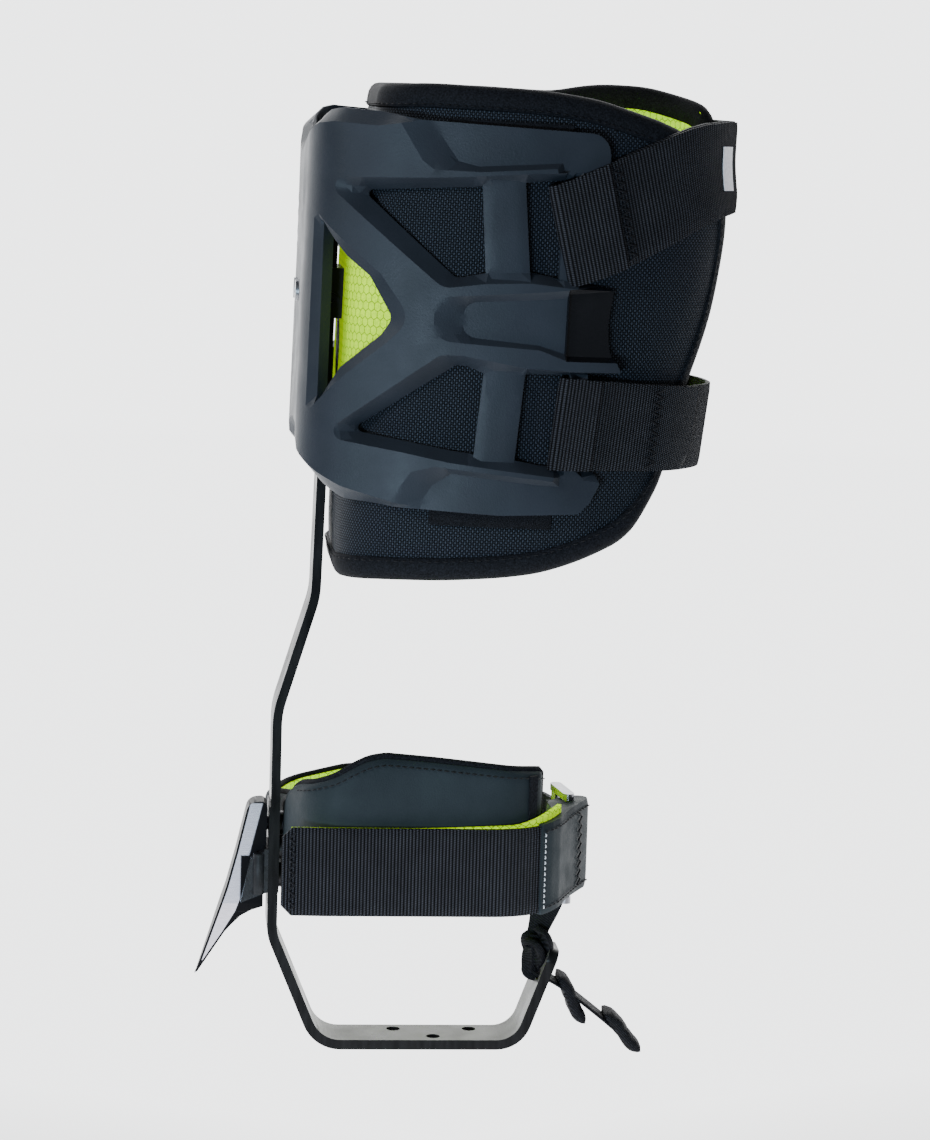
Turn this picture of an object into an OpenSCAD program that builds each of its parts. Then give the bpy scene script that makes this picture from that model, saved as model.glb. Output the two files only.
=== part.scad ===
// Tree climbing spur for one leg: stirrup, shank, gaff, calf cuff, ankle strap and tether.
// Origin: centre of the tread's top face. +X lateral, +Y away from the gaff's open side, +Z up.

/* [Irons] */
// Width of the stirrup and shank bars
bar_w = 25; // [22:0.5:28]
// Thickness of the stirrup bar
stirrup_t = 4.5; // [4:0.1:5]
// Thickness of the shank bar
shank_t = 4.2; // [3.8:0.1:4.6]
// Height of the top end of the shank above the tread
shank_top = 391; // [385:1:400]

/* [Tread holes] */
// Radius of the three drainage and accessory holes
tread_hole_r = 3.15; // [2.5:0.05:3.5]
// Spacing of the two holes of the rear row
tread_hole_pitch = 35; // [30:0.5:40]

/* [Gaff] */
// Thickness of the gaff across its polished side faces
gaff_t = 13; // [11:0.5:14]
// Shaft radius of the two gaff bolts
bolt_r = 3; // [2.5:0.1:3]

/* [Cuff] */
// Thickness of the moulded wings of the cuff
shell_t = 8; // [7:0.5:8]
// Thickness of the calf pad without its lining
pad_t = 7.5; // [6:0.5:8]
// Thickness of each mesh lining
lining_t = 1.5; // [1:0.25:2]
// Width of the lower calf strap
calf_strap_w = 40; // [38:1:42]

/* [Ankle] */
// Width of the ankle strap
ankle_strap_w = 41; // [38:1:42]
// Thickness of the ankle pad without its lining
ankle_pad_t = 6.5; // [5:0.5:7]

/* [Hidden] */
$fn = 48;
eps = 0.02;

// Bars
half_w = bar_w / 2;
lap_bottom = 68.5;                       // the stirrup's full thickness ends here
lap_top = 108;                           // top of the stirrup's thin tongue
upright_x = -68;                         // middle of the stirrup's medial upright
lap_x = upright_x - 0.05;                // face on which tongue and shank meet
tongue_x = upright_x - stirrup_t / 2;    // medial face of the upright
shank_face_x = -65.4;                    // lateral face of the lower shank
shank_x = shank_face_x - shank_t / 2;
cuff_lean = 1.5;                         // lean of the upper shank towards the lateral side
cuff_o = [-48.2, 0, 333.5];              // point of the shank that the cuff is built around
bolt_z = [74, 98];
pad_screw_z = 88;                        // screws that hold the ankle pad on the shank
pad_screw_y = 7;

// Cuff plan, in the cuff's own frame: shank along z at x = 0
wing_r = 190;                            // radius of the wings
wing_c = [75, 120];                      // centre of the near wing's arc
wall_x = -14;                            // outside of the medial wall
wall_t = 6;                              // thickness of the medial wall
corner_r = 25;
wing_end_a = 15.26;                      // heading of the wing where it ends
side_run = 15;                           // straight run between wing and lateral turn
side_p = wing_c + wing_r * [sin(wing_end_a), -cos(wing_end_a)]
    + side_run * [cos(wing_end_a), sin(wing_end_a)];
side_r = -side_p[1] / cos(wing_end_a);
side_cx = side_p[0] - side_r * sin(wing_end_a);
slider_h = 22;                           // height of the slider on the shank
slider_z = -5;                           // its lower end
slider_fit = 0.06;                       // clearance round the shank
pad_gap = 0.7;                           // between the wings' inner face and the pad
pad_off = shell_t + pad_gap;
pad_wall_x = 5.6;                        // outside of the pad behind the shank
strap_t = 2.4;
strap_in = pad_off - 0.4;                // offset of the strap's inner face
strap_out = strap_in - strap_t;
loop_out = 0.3;                          // offset of the outer face of the sewn loops
bar_in = 5.6;                            // inner face of the moulded strap bars
bar_out = 3;                             // outer face of the moulded strap bars
upper_bar = [94.3, 102.3];               // front and back of the upper strap's bar
lower_bar = [101.6, 109.6];
loop_nose = 4.6;                         // from a bar's front to the front of the loop round it
loop_run = 26;                           // length of a sewn loop

// Ankle plan
ankle_z = [68, 68 + ankle_strap_w];
ankle_path = [[45, -38], [34, -45.5, 20], [-50, -46.5, 18], [-59.4, -20, 20], [-59.4, 12, 12],
    [-68.6, 27, 7], [-60, 43, 12], [-20, 47, 60], [35, 44, 25], [54, 26]];
ankle_band_t = ankle_pad_t + lining_t;
ankle_strap_t = 5;
pad_outer_x = -59.4 - ankle_band_t / 2;  // outside of the pad beside the shank
pad_screw_head_x = pad_outer_x + ankle_pad_t - 1.4;
ring_far = [62, 12];
ring_near = [65.2, -9.5];
ring_wire_r = 2;
ring_z = [64, 115];
ring_link_t = 3;
ring_link_r = 2.6;

// Tether route, from the ankle strap through the slot in the stirrup to its free end
tail_t = 1.6;
tail_w = 16;
tail_route = [[54.8, 0, 28.6], [57.6, 0, 27.6], [60.4, 0, 26.3], [63, 0, 24.8], [65.6, 0, 23.2],
    [68.2, 0, 21.4], [70.8, 0, 19.5], [73.4, 0, 17.5], [76, 0, 15.5], [78.6, 0, 13.5], [81.2, 0, 11.4],
    [83.8, 0, 9.3], [86.4, 0, 7.2], [89, 0, 5], [91.6, 0, 2.8], [94.2, 0, 0.6], [96.8, 0, -1.7],
    [99.4, 0, -4], [102, 0, -6.3]];

// Plane geometry helpers ------------------------------------------------------------------
function unit(v) = v / norm(v);
function left_of(v) = [-v[1], v[0]];
function xy(p) = [p[0], p[1]];
function wrap(a) = a > 180 ? a - 360 : a < -180 ? a + 360 : a;
// Points of the arc that rounds corner b of the path a-b-c
function corner(a, b, c, r, n) =
    let (u = unit(a - b), v = unit(c - b), half = acos(u * v) / 2,
        m = b + unit(u + v) * r / sin(half), s = b + u * r / tan(half) - m,
        e = b + v * r / tan(half) - m, a0 = atan2(s[1], s[0]), da = wrap(atan2(e[1], e[0]) - a0))
    [for (i = [0:n]) m + r * [cos(a0 + da * i / n), sin(a0 + da * i / n)]];
// Closed outline; each point is [x, y] or [x, y, radius]
function outline(p, n = 5) = [for (i = [0:len(p) - 1])
    let (a = xy(p[(i + len(p) - 1) % len(p)]), b = xy(p[i]), c = xy(p[(i + 1) % len(p)]))
    each (len(p[i]) > 2 ? corner(a, b, c, p[i][2], n) : [b])];
// Open path; the two end points stay sharp
function open_path(p, n = 5) = [for (i = [0:len(p) - 1])
    each (len(p[i]) > 2 ? corner(xy(p[i - 1]), xy(p[i]), xy(p[i + 1]), p[i][2], n) : [xy(p[i])])];
function heading(p, i) = unit(unit(p[min(i + 1, len(p) - 1)] - p[max(i - 1, 0)]));
// Ribbon between the offsets lo and hi to the left of an open path
function ribbon(p, lo, hi) = concat(
    [for (i = [0:len(p) - 1]) p[i] + left_of(heading(p, i)) * hi],
    [for (i = [len(p) - 1:-1:0]) p[i] + left_of(heading(p, i)) * lo]);
// Near half of the cuff's plan loop at an inward offset, from the medial wall to the lateral turn
function half_loop(xm, r, off) =
    let (rb = wing_r - off, cx = xm + r,
        cy = wing_c[1] - sqrt(pow(rb - r, 2) - pow(wing_c[0] - cx, 2)),
        a1 = atan2(cy - wing_c[1], cx - wing_c[0]) + 360, a2 = 270 + wing_end_a, rs = side_r - off)
    concat([for (i = [0:6]) [cx, cy] + r * [cos(180 + (a1 - 180) * i / 6), sin(180 + (a1 - 180) * i / 6)]],
        [for (i = [1:12]) wing_c + rb * [cos(a1 + (a2 - a1) * i / 12), sin(a1 + (a2 - a1) * i / 12)]],
        [for (i = [0:8]) [side_cx, 0] + rs * [cos((a2 - 360) * (1 - i / 8)), sin((a2 - 360) * (1 - i / 8))]]);
function loop(xm, r, off) = let (h = half_loop(xm, r, off))
    concat(h, [for (i = [len(h) - 2:-1:0]) [h[i][0], -h[i][1]]]);

module in_cuff() translate(cuff_o) rotate([0, cuff_lean, 0]) children();
// Extrudes a shape drawn in X and Z along Y, between y0 and y1
module along_y(y0, y1) translate([0, y1, 0]) rotate([90, 0, 0]) linear_extrude(y1 - y0) children();
module bar_profile(pts, w) along_y(-w / 2, w / 2) polygon(pts);
module along_x(x0, x1, r, y, z) translate([x0, y, z]) rotate([0, 90, 0]) cylinder(r = r, h = x1 - x0);

// Irons -----------------------------------------------------------------------------------
stirrup_line = open_path([[upright_x, 70], [upright_x, 49.1, 22], [-46.4, -stirrup_t / 2, 16],
    [45.4, -stirrup_t / 2, 14], [61.5, 41.8]], 8);
slot_at = [57, 0, 28.5];                 // middle of the tether slot in the lateral arm
arm_tilt = 19.9;                         // lean of the lateral arm from the vertical

module stirrup() color("#1c1d20") difference() {
    union() {
        bar_profile(ribbon(stirrup_line, -stirrup_t / 2, stirrup_t / 2), bar_w);
        translate([tongue_x, -half_w, lap_bottom]) cube([lap_x - tongue_x, bar_w, lap_top - lap_bottom]);
    }
    // the upright is cut to half its thickness above the shank's foot
    translate([lap_x, -bar_w, lap_bottom]) cube([10, 2 * bar_w, 20]);
    // rounded corners of the lateral end
    for (s = [-1, 1]) translate([61.5, s * half_w, 41.8]) rotate([0, arm_tilt, 0])
        difference() {
            cube([20, 12, 12], center = true);
            translate([0, -s * 6, -6]) rotate([0, 90, 0]) cylinder(r = 6, h = 30, center = true);
            translate([0, 0, -6 - 5]) cube([30, 30, 10], center = true);
            translate([0, -s * 11, 0]) cube([30, 10, 30], center = true);
        }
    // three holes through the tread
    for (x = [-1, 1]) translate([7 + x * tread_hole_pitch / 2, 6, -20]) cylinder(r = tread_hole_r, h = 40);
    translate([7, -6, -20]) cylinder(r = tread_hole_r, h = 40);
    // tether slot
    translate(slot_at) rotate([0, arm_tilt, 0]) cube([20, 18, 5], center = true);
    // bolt and screw holes
    for (z = bolt_z) along_x(-80, -60, bolt_r + 0.05, 0, z);
    for (y = [-pad_screw_y, pad_screw_y]) along_x(-80, -60, 2.05, y, pad_screw_z);
}

// Middle of the upper shank at a height
function upper_shank(z) = [cuff_o[0] + (z - cuff_o[2]) * tan(cuff_lean), z];
shank_bends = [151, 204];                // heights of the two bends
shank_line = concat([[shank_x, lap_top]], open_path([[shank_x, lap_top + 5], [shank_x, shank_bends[0], 40],
    concat(upper_shank(shank_bends[1]), 40), upper_shank(shank_top)], 6));

module shank() color("#17181a") difference() {
    union() {
        bar_profile(ribbon(shank_line, -shank_t / 2, shank_t / 2), bar_w);
        translate([lap_x, -half_w, lap_bottom])
            cube([shank_face_x - lap_x, bar_w, lap_top - lap_bottom + eps]);
    }
    for (z = bolt_z) along_x(-80, -60, bolt_r + 0.05, 0, z);
    for (y = [-pad_screw_y, pad_screw_y]) along_x(-80, -60, 2.05, y, pad_screw_z);
    // chamfered top corners
    for (s = [-1, 1]) translate([cuff_o[0], s * half_w, shank_top]) rotate([45, 0, 0])
        cube([30, 8, 8], center = true);
}

// Gaff ------------------------------------------------------------------------------------
gaff_back = tongue_x - 0.5;              // stands just clear of the upright
holder_t = 1.8;                          // web of the holder behind the gaff
holder_z = [63.5, 88.5];
gaff_outline = outline([[gaff_back, 109.5, 3], [-79.4, 108.6, 5], [-84.8, 85], [-88.8, 69.5],
    [-101.6, 29.8], [-102.4, 28], [-101.2, 28.7], [-89.2, 48.2], [-86.2, 51.8], [-82.2, 56], [-77.5, 58.8],
    [gaff_back - 1, 60.8]], 5);

module gaff() color("#c9c9cf") difference() {
    along_y(-gaff_t / 2, gaff_t / 2) polygon(gaff_outline);
    // seat of the holder's web
    translate([tongue_x - holder_t - 0.1, -20, holder_z[0] - 5])
        cube([20, 40, holder_z[1] - holder_z[0] + 5.1]);
    // the spike narrows to its point
    for (s = [-1, 1]) rotate([90, 0, 90]) translate([0, 0, -150]) linear_extrude(100)
        polygon([[s * gaff_t / 2, 62], [s * 20, 62], [s * 20, 20], [s * 0.8, 20], [s * 1, 28]]);
    // tapped holes of the two bolts
    for (z = bolt_z) along_x(tongue_x - 8, -60, bolt_r, 0, z);
}

module gaff_holder() color("#202124") difference() {
    union() {
        for (s = [-1, 1]) along_y(s > 0 ? gaff_t / 2 + 0.1 : -half_w, s > 0 ? half_w : -gaff_t / 2 - 0.1)
            polygon([[tongue_x - eps, 88.5], [-78.2, 84], [-82.4, 63.8], [tongue_x - eps, 68.8]]);
        for (s = [-1, 1]) translate([-74.6, s * (half_w - 0.6), 68]) cylinder(r = 2.6, h = 18.5);
        translate([tongue_x - holder_t, -half_w, holder_z[0] + 5]) cube([holder_t - eps, bar_w, 20]);
    }
    along_x(-90, -60, bolt_r + 0.05, 0, bolt_z[0]);
}

module gaff_bolts() color("#26272a") for (z = bolt_z) {
    along_x(tongue_x - 7.5, shank_face_x, bolt_r, 0, z);
    difference() {
        along_x(shank_face_x, shank_face_x + 2.1, 5.6, 0, z);
        translate([shank_face_x + 1, 0, z]) rotate([0, 90, 0]) cylinder(r = 1.9, h = 5, $fn = 6);
    }
}

// Cuff ------------------------------------------------------------------------------------
shell_outline = outline([[-22, 86.5, 18], [17, 86.5], [31, 84.4], [114, 82.2, 11], [114.6, 66], [200, 70],
    [200, -67], [118.6, -67], [118.4, -82, 11], [74, -83], [31, -81.6], [-22, -80.5, 22]], 6);
wedge_window = outline([[-7, 38, 2], [29, 1, 9], [-7, -36, 2]], 6);
upper_opening = outline([[7, 53.5, 3], [51, 63.8], [200, 70], [200, 14.5], [124, 14.5], [101, 17.3],
    [87, 19.2], [49.3, 16.6, 8]], 6);
lower_opening = outline([[8, -52, 3], [49, -17, 8], [87, -19.5], [124, -19.5], [200, -19.5], [200, -67.3],
    [118.6, -67.3], [90, -64.5], [51, -60.6]], 6);

// Band of the cuff's plan between two offsets
module cuff_band(off0, off1) difference() {
    translate([0, 0, -120]) linear_extrude(240) polygon(loop(wall_x + off0, corner_r - off0, off0));
    translate([0, 0, -121]) linear_extrude(242) polygon(loop(wall_x + (off1 == shell_t ? wall_t : off1),
        corner_r - (off1 == shell_t ? wall_t : off1), off1));
}
module outline_prism(pts) along_y(-90, 90) polygon(pts);
// Both wings of one shape drawn in x and z
module wings(off0, off1) intersection() {
    cuff_band(off0, off1);
    along_y(-90, 90) children();
}

module cuff_shell() color("#33383f") in_cuff() difference() {
    union() {
        difference() {
            intersection() {
                cuff_band(0, shell_t);
                outline_prism(shell_outline);
                translate([-30, -90, -90]) cube([157, 180, 180]);
            }
            outline_prism(wedge_window);
            outline_prism(upper_opening);
            outline_prism(lower_opening);
            outline_prism(concat([[119, 27.1]], corner([122.4, 27.1], [117.6, 1], [123.4, -19.5], 40, 6),
                [[119, -19.6], [140, -30], [140, 40]]));
        }
        wings(3, shell_t) {
            polygon([[59.5, 66], [76.2, 66.5], [82, 16], [63.8, 16]]);
            polygon([[63.8, -16], [82, -16], [78.6, -66], [60.6, -64]]);
        }
        wings(bar_out, bar_in) {
            polygon([[upper_bar[0], 72], [upper_bar[1], 72], [upper_bar[1], 16], [upper_bar[0], 16]]);
            polygon([[lower_bar[0], -72], [lower_bar[1], -72], [lower_bar[1], -16], [lower_bar[0], -16]]);
        }
    }
    // sunk panels of the stem
    wings(-2, 2.2) polygon(outline([[41, 9.5, 7], [86, 13.5], [99, 15.6], [99, -14.8], [87, -10.6],
        [42, -9, 7]], 6));
    wings(-2, 4) polygon([[99, 16], [130, 22], [130, -16], [99, -15]]);
    // screw holes and seat of the slider
    for (y = [-8, 8]) along_x(-30, 0, 2.55, y, slider_z + slider_h / 2);
}

module cuff_slider() color("#141517") in_cuff() difference() {
    translate([wall_x + wall_t, -17, slider_z]) cube([5.1 - wall_x - wall_t, 34, slider_h]);
    translate([-shank_t / 2 - slider_fit, -half_w - slider_fit, slider_z - 5])
        cube([shank_t + 2 * slider_fit, bar_w + 2 * slider_fit, slider_h + 10]);
    for (y = [-8, 8]) along_x(-30, -shank_t / 2 - 0.6, 2.5, y, slider_z + slider_h / 2);
    translate([0, -half_w, 3]) rotate([90, 0, 0]) cylinder(r = 2.05, h = 20);
}

module slider_screws() color("#8c8f94") in_cuff() for (y = [-8, 8]) {
    along_x(wall_x, -shank_t / 2 - 0.7, 2.5, y, slider_z + slider_h / 2);
    difference() {
        along_x(wall_x - 1.6, wall_x, 4.6, y, slider_z + slider_h / 2);
        translate([wall_x - 3, y, slider_z + slider_h / 2]) rotate([0, 90, 0])
            cylinder(r = 1.6, h = 2.4, $fn = 6);
    }
}

module clamp_screw() color("#5d6166") in_cuff() translate([0, 0, 3]) rotate([90, 0, 0]) difference() {
    union() {
        translate([0, 0, half_w + 0.1]) cylinder(r = 2, h = 17 - half_w);
        translate([0, 0, 17.1]) cylinder(r = 3.4, h = 1.6);
    }
    translate([0, 0, 17.9]) cylinder(r = 1.3, h = 3, $fn = 6);
}

// Calf pad and straps ---------------------------------------------------------------------
pad_outline = outline([[-12, -112.5, 8], [78, -114, 60], [140, -95, 35], [200, -20], [200, 70],
    [125, 97.5], [88, 97.5], [-12, 98, 8]], 6);
pad_split = [[150, 14], [220, 14], [220, 40], [140, 30]];    // where the pad opens for the leg

module pad_band(off0, off1) intersection() {
    difference() {
        translate([0, 0, -130]) linear_extrude(260)
            polygon(loop(pad_wall_x + off0 - pad_off, 24 + pad_off - off0, off0));
        translate([0, 0, -131]) linear_extrude(262)
            polygon(loop(pad_wall_x + off1 - pad_off, 24 + pad_off - off1, off1));
        translate([0, 0, -131]) linear_extrude(262) polygon(pad_split);
    }
    along_y(-90, 90) polygon(pad_outline);
}

module calf_pad() color("#14161a") in_cuff() pad_band(pad_off, pad_off + pad_t);
module calf_pad_lining() color("#b6d80c") in_cuff()
    pad_band(pad_off + pad_t + eps, pad_off + pad_t + lining_t);

module pad_hook_patches() color("#0d0d0e") in_cuff() wings(shell_t + 0.05, pad_off - 0.2) {
    translate([44, -88]) square([54, 20]);
    translate([44, 70]) square([54, 12]);
}

// Band round the outside of the pad with a sewn loop on each moulded bar; the outline is in x and z
module strap(pts, bar) intersection() {
    x_loop = bar[0] - loop_nose;
    along_y(-90, 90) polygon(pts);
    difference() {
        union() {
            intersection() {
                cuff_band(strap_out, strap_in);
                translate([x_loop - 5, -90, -120]) cube([200, 180, 240]);
            }
            intersection() {
                cuff_band(loop_out, strap_in);
                translate([x_loop, -90, -120]) cube([loop_run, 180, 240]);
            }
        }
        intersection() {
            cuff_band(bar_out - 0.3, bar_in + 0.3);
            translate([bar[0] - 2.2, -90, -120]) cube([12.4, 180, 240]);
        }
        translate([x_loop - 6, -90, -120]) cube([6, 180, 240]);
    }
}

module upper_strap() color("#101114") in_cuff()
    strap([[60, 52.3], [101, 61], [101.1, 61.5], [114.8, 65.8], [130, 77], [161, 92.5], [190, 98], [190, 56],
        [166, 48.7], [129, 32.8], [104, 19.5], [60, 19.5]], upper_bar);
module lower_strap() color("#101114") in_cuff()
    strap([[60, -22.5], [190, -26], [190, -26 - calf_strap_w], [60, -22.5 - calf_strap_w]], lower_bar);

// Ankle band ------------------------------------------------------------------------------
ankle_line = open_path(ankle_path, 7);
near_profile = outline([[-75, 68.5], [-75, 118, 2], [-58, 122, 8], [-36, 132, 20], [-21, 139.5, 14],
    [46, 131.5, 4], [60, 128], [60, 70], [48, 68.5, 5]], 5);
far_profile = outline([[-90, 66], [-90, 106, 3], [-50, 111, 30], [-20, 116, 30], [70, 114, 8], [70, 66, 8]], 5);

module ankle_band(lo, hi) {
    intersection() {
        translate([0, 0, 50]) linear_extrude(100) polygon(ribbon(ankle_line, lo, hi));
        union() {
            along_y(-90, 0) polygon(near_profile);
            along_y(0, 90) polygon(far_profile);
        }
    }
}

module ankle_pad() color("#5b6a74") difference() {
    ankle_band(ankle_band_t / 2 - ankle_pad_t, ankle_band_t / 2);
    for (y = [-pad_screw_y, pad_screw_y]) {
        along_x(-80, -50, 2.05, y, pad_screw_z);
        along_x(pad_screw_head_x - 0.1, -50, 4.6, y, pad_screw_z);
        along_x(-80, pad_outer_x, 4.6, y, pad_screw_z);
    }
    // dents over the heads of the gaff bolts
    for (z = bolt_z) along_x(-80, pad_outer_x + 0.3, 6, 0, z);
}
module ankle_pad_lining() color("#b6d80c")
    ankle_band(-ankle_band_t / 2, ankle_band_t / 2 - ankle_pad_t - 2 * eps);
// Shouldered screws: the shoulder spaces the pad off the shank
module ankle_pad_screws() color("#3a3c40") for (y = [-pad_screw_y, pad_screw_y]) {
    along_x(tongue_x + 0.1, pad_screw_head_x + 1, 2, y, pad_screw_z);
    along_x(shank_face_x, pad_outer_x - 0.05, 4.5, y, pad_screw_z);
    along_x(pad_screw_head_x, pad_screw_head_x + 1.2, 4.5, y, pad_screw_z);
}

strap_line = open_path([[-65.5, -52.3], [-48, -53.4, 40], [46, -53.4, 32], [60.5, -28]], 8);

module ankle_strap() color("#0f1013") translate([0, 0, ankle_z[0]]) linear_extrude(ankle_strap_w)
    polygon(ribbon(strap_line, -ankle_strap_t / 2, ankle_strap_t / 2));

// Leather-covered fold of the strap round the ring's near bar
module ankle_strap_tab() color("#55636c") translate([0, 0, ankle_z[0]]) linear_extrude(ankle_strap_w)
    difference() {
        polygon(outline([[56.6, -25.7], [55.6, -2, 6], [65, 1.2, 6], [74, -3.6, 6], [62.7, -29.2]], 6));
        polygon(outline([[58.8, -20, 1], [58.2, -5, 3.5], [70.6, -5.2, 4], [65.6, -17.4, 1.5]], 5));
    }

// Two round bars joined by a flat link at each end
module ankle_ring() color("#9fa2a6") {
    for (p = [ring_far, ring_near]) translate([p[0], p[1], ring_z[0] + 1])
        cylinder(r = ring_wire_r, h = ring_z[1] - ring_z[0] - 2);
    for (z = [ring_z[0], ring_z[1] - ring_link_t]) translate([0, 0, z]) linear_extrude(ring_link_t) union() {
        for (p = [ring_far, ring_near]) translate(p) circle(r = ring_link_r);
        polygon(ribbon([ring_far, ring_near], -ring_link_r, ring_link_r));
    }
}

// Webbing that holds the ring, sewn flat against the far side of the ankle pad
loop_eye_r = 4.4;                        // outside of the fold round the bar
loop_t = 2.6;                            // two layers of webbing
loop_line = open_path([[8, 51.3], [37.5, 49.4, 20], [57.9, 30.1, 12], [60.8, 19]], 6);
module ring_loop() color("#101114") translate([0, 0, ankle_z[0] + 2]) difference() {
    linear_extrude(ankle_strap_w - 4) polygon(concat(
        [for (i = [0:len(loop_line) - 1]) loop_line[i] + left_of(heading(loop_line, i)) * loop_t / 2],
        [for (a = [15:-15:-195]) ring_far + loop_eye_r * [cos(a), sin(a)]],
        [for (i = [len(loop_line) - 1:-1:0]) loop_line[i] - left_of(heading(loop_line, i)) * loop_t / 2]));
    translate([ring_far[0], ring_far[1], -1]) cylinder(r = ring_wire_r + 0.06, h = ankle_strap_w);
}

// Tether ----------------------------------------------------------------------------------
// Four corners of a flat cord at a point p with the heading t
function cord_ring(p, t, w, h) = let (n = [-t[2], 0, t[0]] * h / 2, side = [0, w / 2, 0])
    [p + n + side, p + n - side, p - n - side, p - n + side];
module flat_cord(route, w, h) {
    n = len(route);
    pts = [for (i = [0:n - 1])
        each cord_ring(route[i], unit(route[min(i + 1, n - 1)] - route[max(i - 1, 0)]), w, h)];
    polyhedron(pts, concat([[0, 1, 2, 3]], [for (i = [0:n - 2], j = [0:3])
        [4 * i + j, 4 * (i + 1) + j, 4 * (i + 1) + (j + 1) % 4, 4 * i + (j + 1) % 4]],
        [[4 * n - 1, 4 * n - 2, 4 * n - 3, 4 * n - 4]]));
}

module tether_web() color("#121316") hull() {
    translate([57, -10, 67]) cube([2.4, 15, 1.9], center = true);
    translate([54.4, -4, 50.5]) cube([6, 8, 2], center = true);
}
module tether_knot() color("#131417") hull() {
    translate([53, -2, 45]) sphere(r = 4.2, $fn = 20);
    translate([56.6, -2, 46]) sphere(r = 3, $fn = 20);
    translate([51.2, -1, 35]) sphere(r = 3.8, $fn = 20);
    translate([51, 0, 30.6]) sphere(r = 3.2, $fn = 20);
}
module tether_tail() color("#121316") flat_cord(tail_route, tail_w, tail_t);
module stop_block(a, b) color("#141518") hull() {
    translate([a[0], 0, a[1]]) rotate([90, 0, 0]) cylinder(r = 2.6, h = tail_w + 2, center = true, $fn = 20);
    translate([b[0], 0, b[1]]) rotate([90, 0, 0]) cylinder(r = 2.6, h = tail_w + 2, center = true, $fn = 20);
}
module tether_stop_upper() stop_block([65.4, 26.4], [75.6, 8.2]);
module tether_stop_lower() stop_block([87.6, 9.2], [101.4, -5.4]);

stirrup();
shank();
gaff();
gaff_holder();
gaff_bolts();
cuff_shell();
cuff_slider();
slider_screws();
clamp_screw();
calf_pad();
calf_pad_lining();
pad_hook_patches();
upper_strap();
lower_strap();
ankle_pad();
ankle_pad_lining();
ankle_pad_screws();
ankle_strap();
ankle_strap_tab();
ankle_ring();
ring_loop();
tether_web();
tether_knot();
tether_tail();
tether_stop_upper();
tether_stop_lower();
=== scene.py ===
"""Looks of a tree climbing spur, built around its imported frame.

Plans and outlines are in millimetres; meshes are in metres, in the frame's own axes.
"""
import math

import bpy
import numpy as np
from mathutils import Matrix, Vector, noise
from mathutils.geometry import delaunay_2d_cdt


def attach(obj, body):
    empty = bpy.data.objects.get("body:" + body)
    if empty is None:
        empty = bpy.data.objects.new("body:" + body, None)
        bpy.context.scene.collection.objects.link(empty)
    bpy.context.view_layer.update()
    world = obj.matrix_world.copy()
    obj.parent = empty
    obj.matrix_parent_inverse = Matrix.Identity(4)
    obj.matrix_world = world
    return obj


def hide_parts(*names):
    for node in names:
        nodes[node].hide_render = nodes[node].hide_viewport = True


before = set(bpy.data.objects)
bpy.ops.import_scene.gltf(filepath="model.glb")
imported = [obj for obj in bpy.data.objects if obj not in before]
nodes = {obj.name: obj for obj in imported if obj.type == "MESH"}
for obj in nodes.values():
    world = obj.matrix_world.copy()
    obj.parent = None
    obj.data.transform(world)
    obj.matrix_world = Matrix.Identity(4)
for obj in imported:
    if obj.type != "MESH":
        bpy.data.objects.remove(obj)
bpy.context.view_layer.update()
scene = bpy.context.scene
MM = 0.001

# Camera ---------------------------------------------------------------------------------
TARGET = Vector((15.8, -1.6, 215.4)) * MM
DISTANCE = 1.5
AZIMUTH, ELEVATION, ROLL = (math.radians(a) for a in (-5.5, 8.5, 1.7))
VIEW_HEIGHT = 0.513          # height of the view at the target
SENSOR = 36.0


def camera_axes():
    """Right, up and forward of the camera; the roll turns the object clockwise in the view."""
    ahead = Vector((-math.sin(AZIMUTH) * math.cos(ELEVATION), math.cos(AZIMUTH) * math.cos(ELEVATION),
                    -math.sin(ELEVATION)))
    level = Vector((math.cos(AZIMUTH), math.sin(AZIMUTH), 0))
    above = level.cross(ahead)
    right = math.cos(ROLL) * level + math.sin(ROLL) * above
    return right, math.cos(ROLL) * above - math.sin(ROLL) * level, ahead


def make_camera():
    right, up, ahead = camera_axes()
    data = bpy.data.cameras.new("camera")
    data.sensor_fit = "VERTICAL"
    data.sensor_height = SENSOR
    data.lens = SENSOR * DISTANCE / VIEW_HEIGHT
    data.clip_end = 20
    camera = bpy.data.objects.new("camera", data)
    turn = Matrix((right, up, -ahead)).transposed().to_4x4()
    camera.matrix_world = Matrix.Translation(TARGET - DISTANCE * ahead) @ turn
    scene.collection.objects.link(camera)
    scene.camera = camera


make_camera()


# Plane geometry -------------------------------------------------------------------------
def unit(v):
    v = np.asarray(v, float)
    return v / np.linalg.norm(v, axis=-1, keepdims=True)


def round_corner(a, b, c, r, n):
    """Points of the arc that rounds corner b of the path a-b-c."""
    a, b, c = (np.array(p[:2], float) for p in (a, b, c))
    u, v = unit(a - b), unit(c - b)
    half = math.acos(max(-1, min(1, float(u @ v)))) / 2
    if math.pi / 2 - half < 1e-3:
        return [b]
    m = b + unit(u + v) * r / math.sin(half)
    s, e = b + u * r / math.tan(half) - m, b + v * r / math.tan(half) - m
    a0, a1 = math.atan2(s[1], s[0]), math.atan2(e[1], e[0])
    turn = (a1 - a0 + math.pi) % (2 * math.pi) - math.pi
    return [m + r * np.array([math.cos(a0 + turn * i / n), math.sin(a0 + turn * i / n)]) for i in range(n + 1)]


def outline(points, n=6):
    """Closed outline; each point is (x, y) or (x, y, radius)."""
    out = []
    for i, p in enumerate(points):
        around = (points[i - 1], p, points[(i + 1) % len(points)])
        out += round_corner(*around, p[2], n) if len(p) > 2 else [np.array(p, float)]
    return np.array(out)


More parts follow.
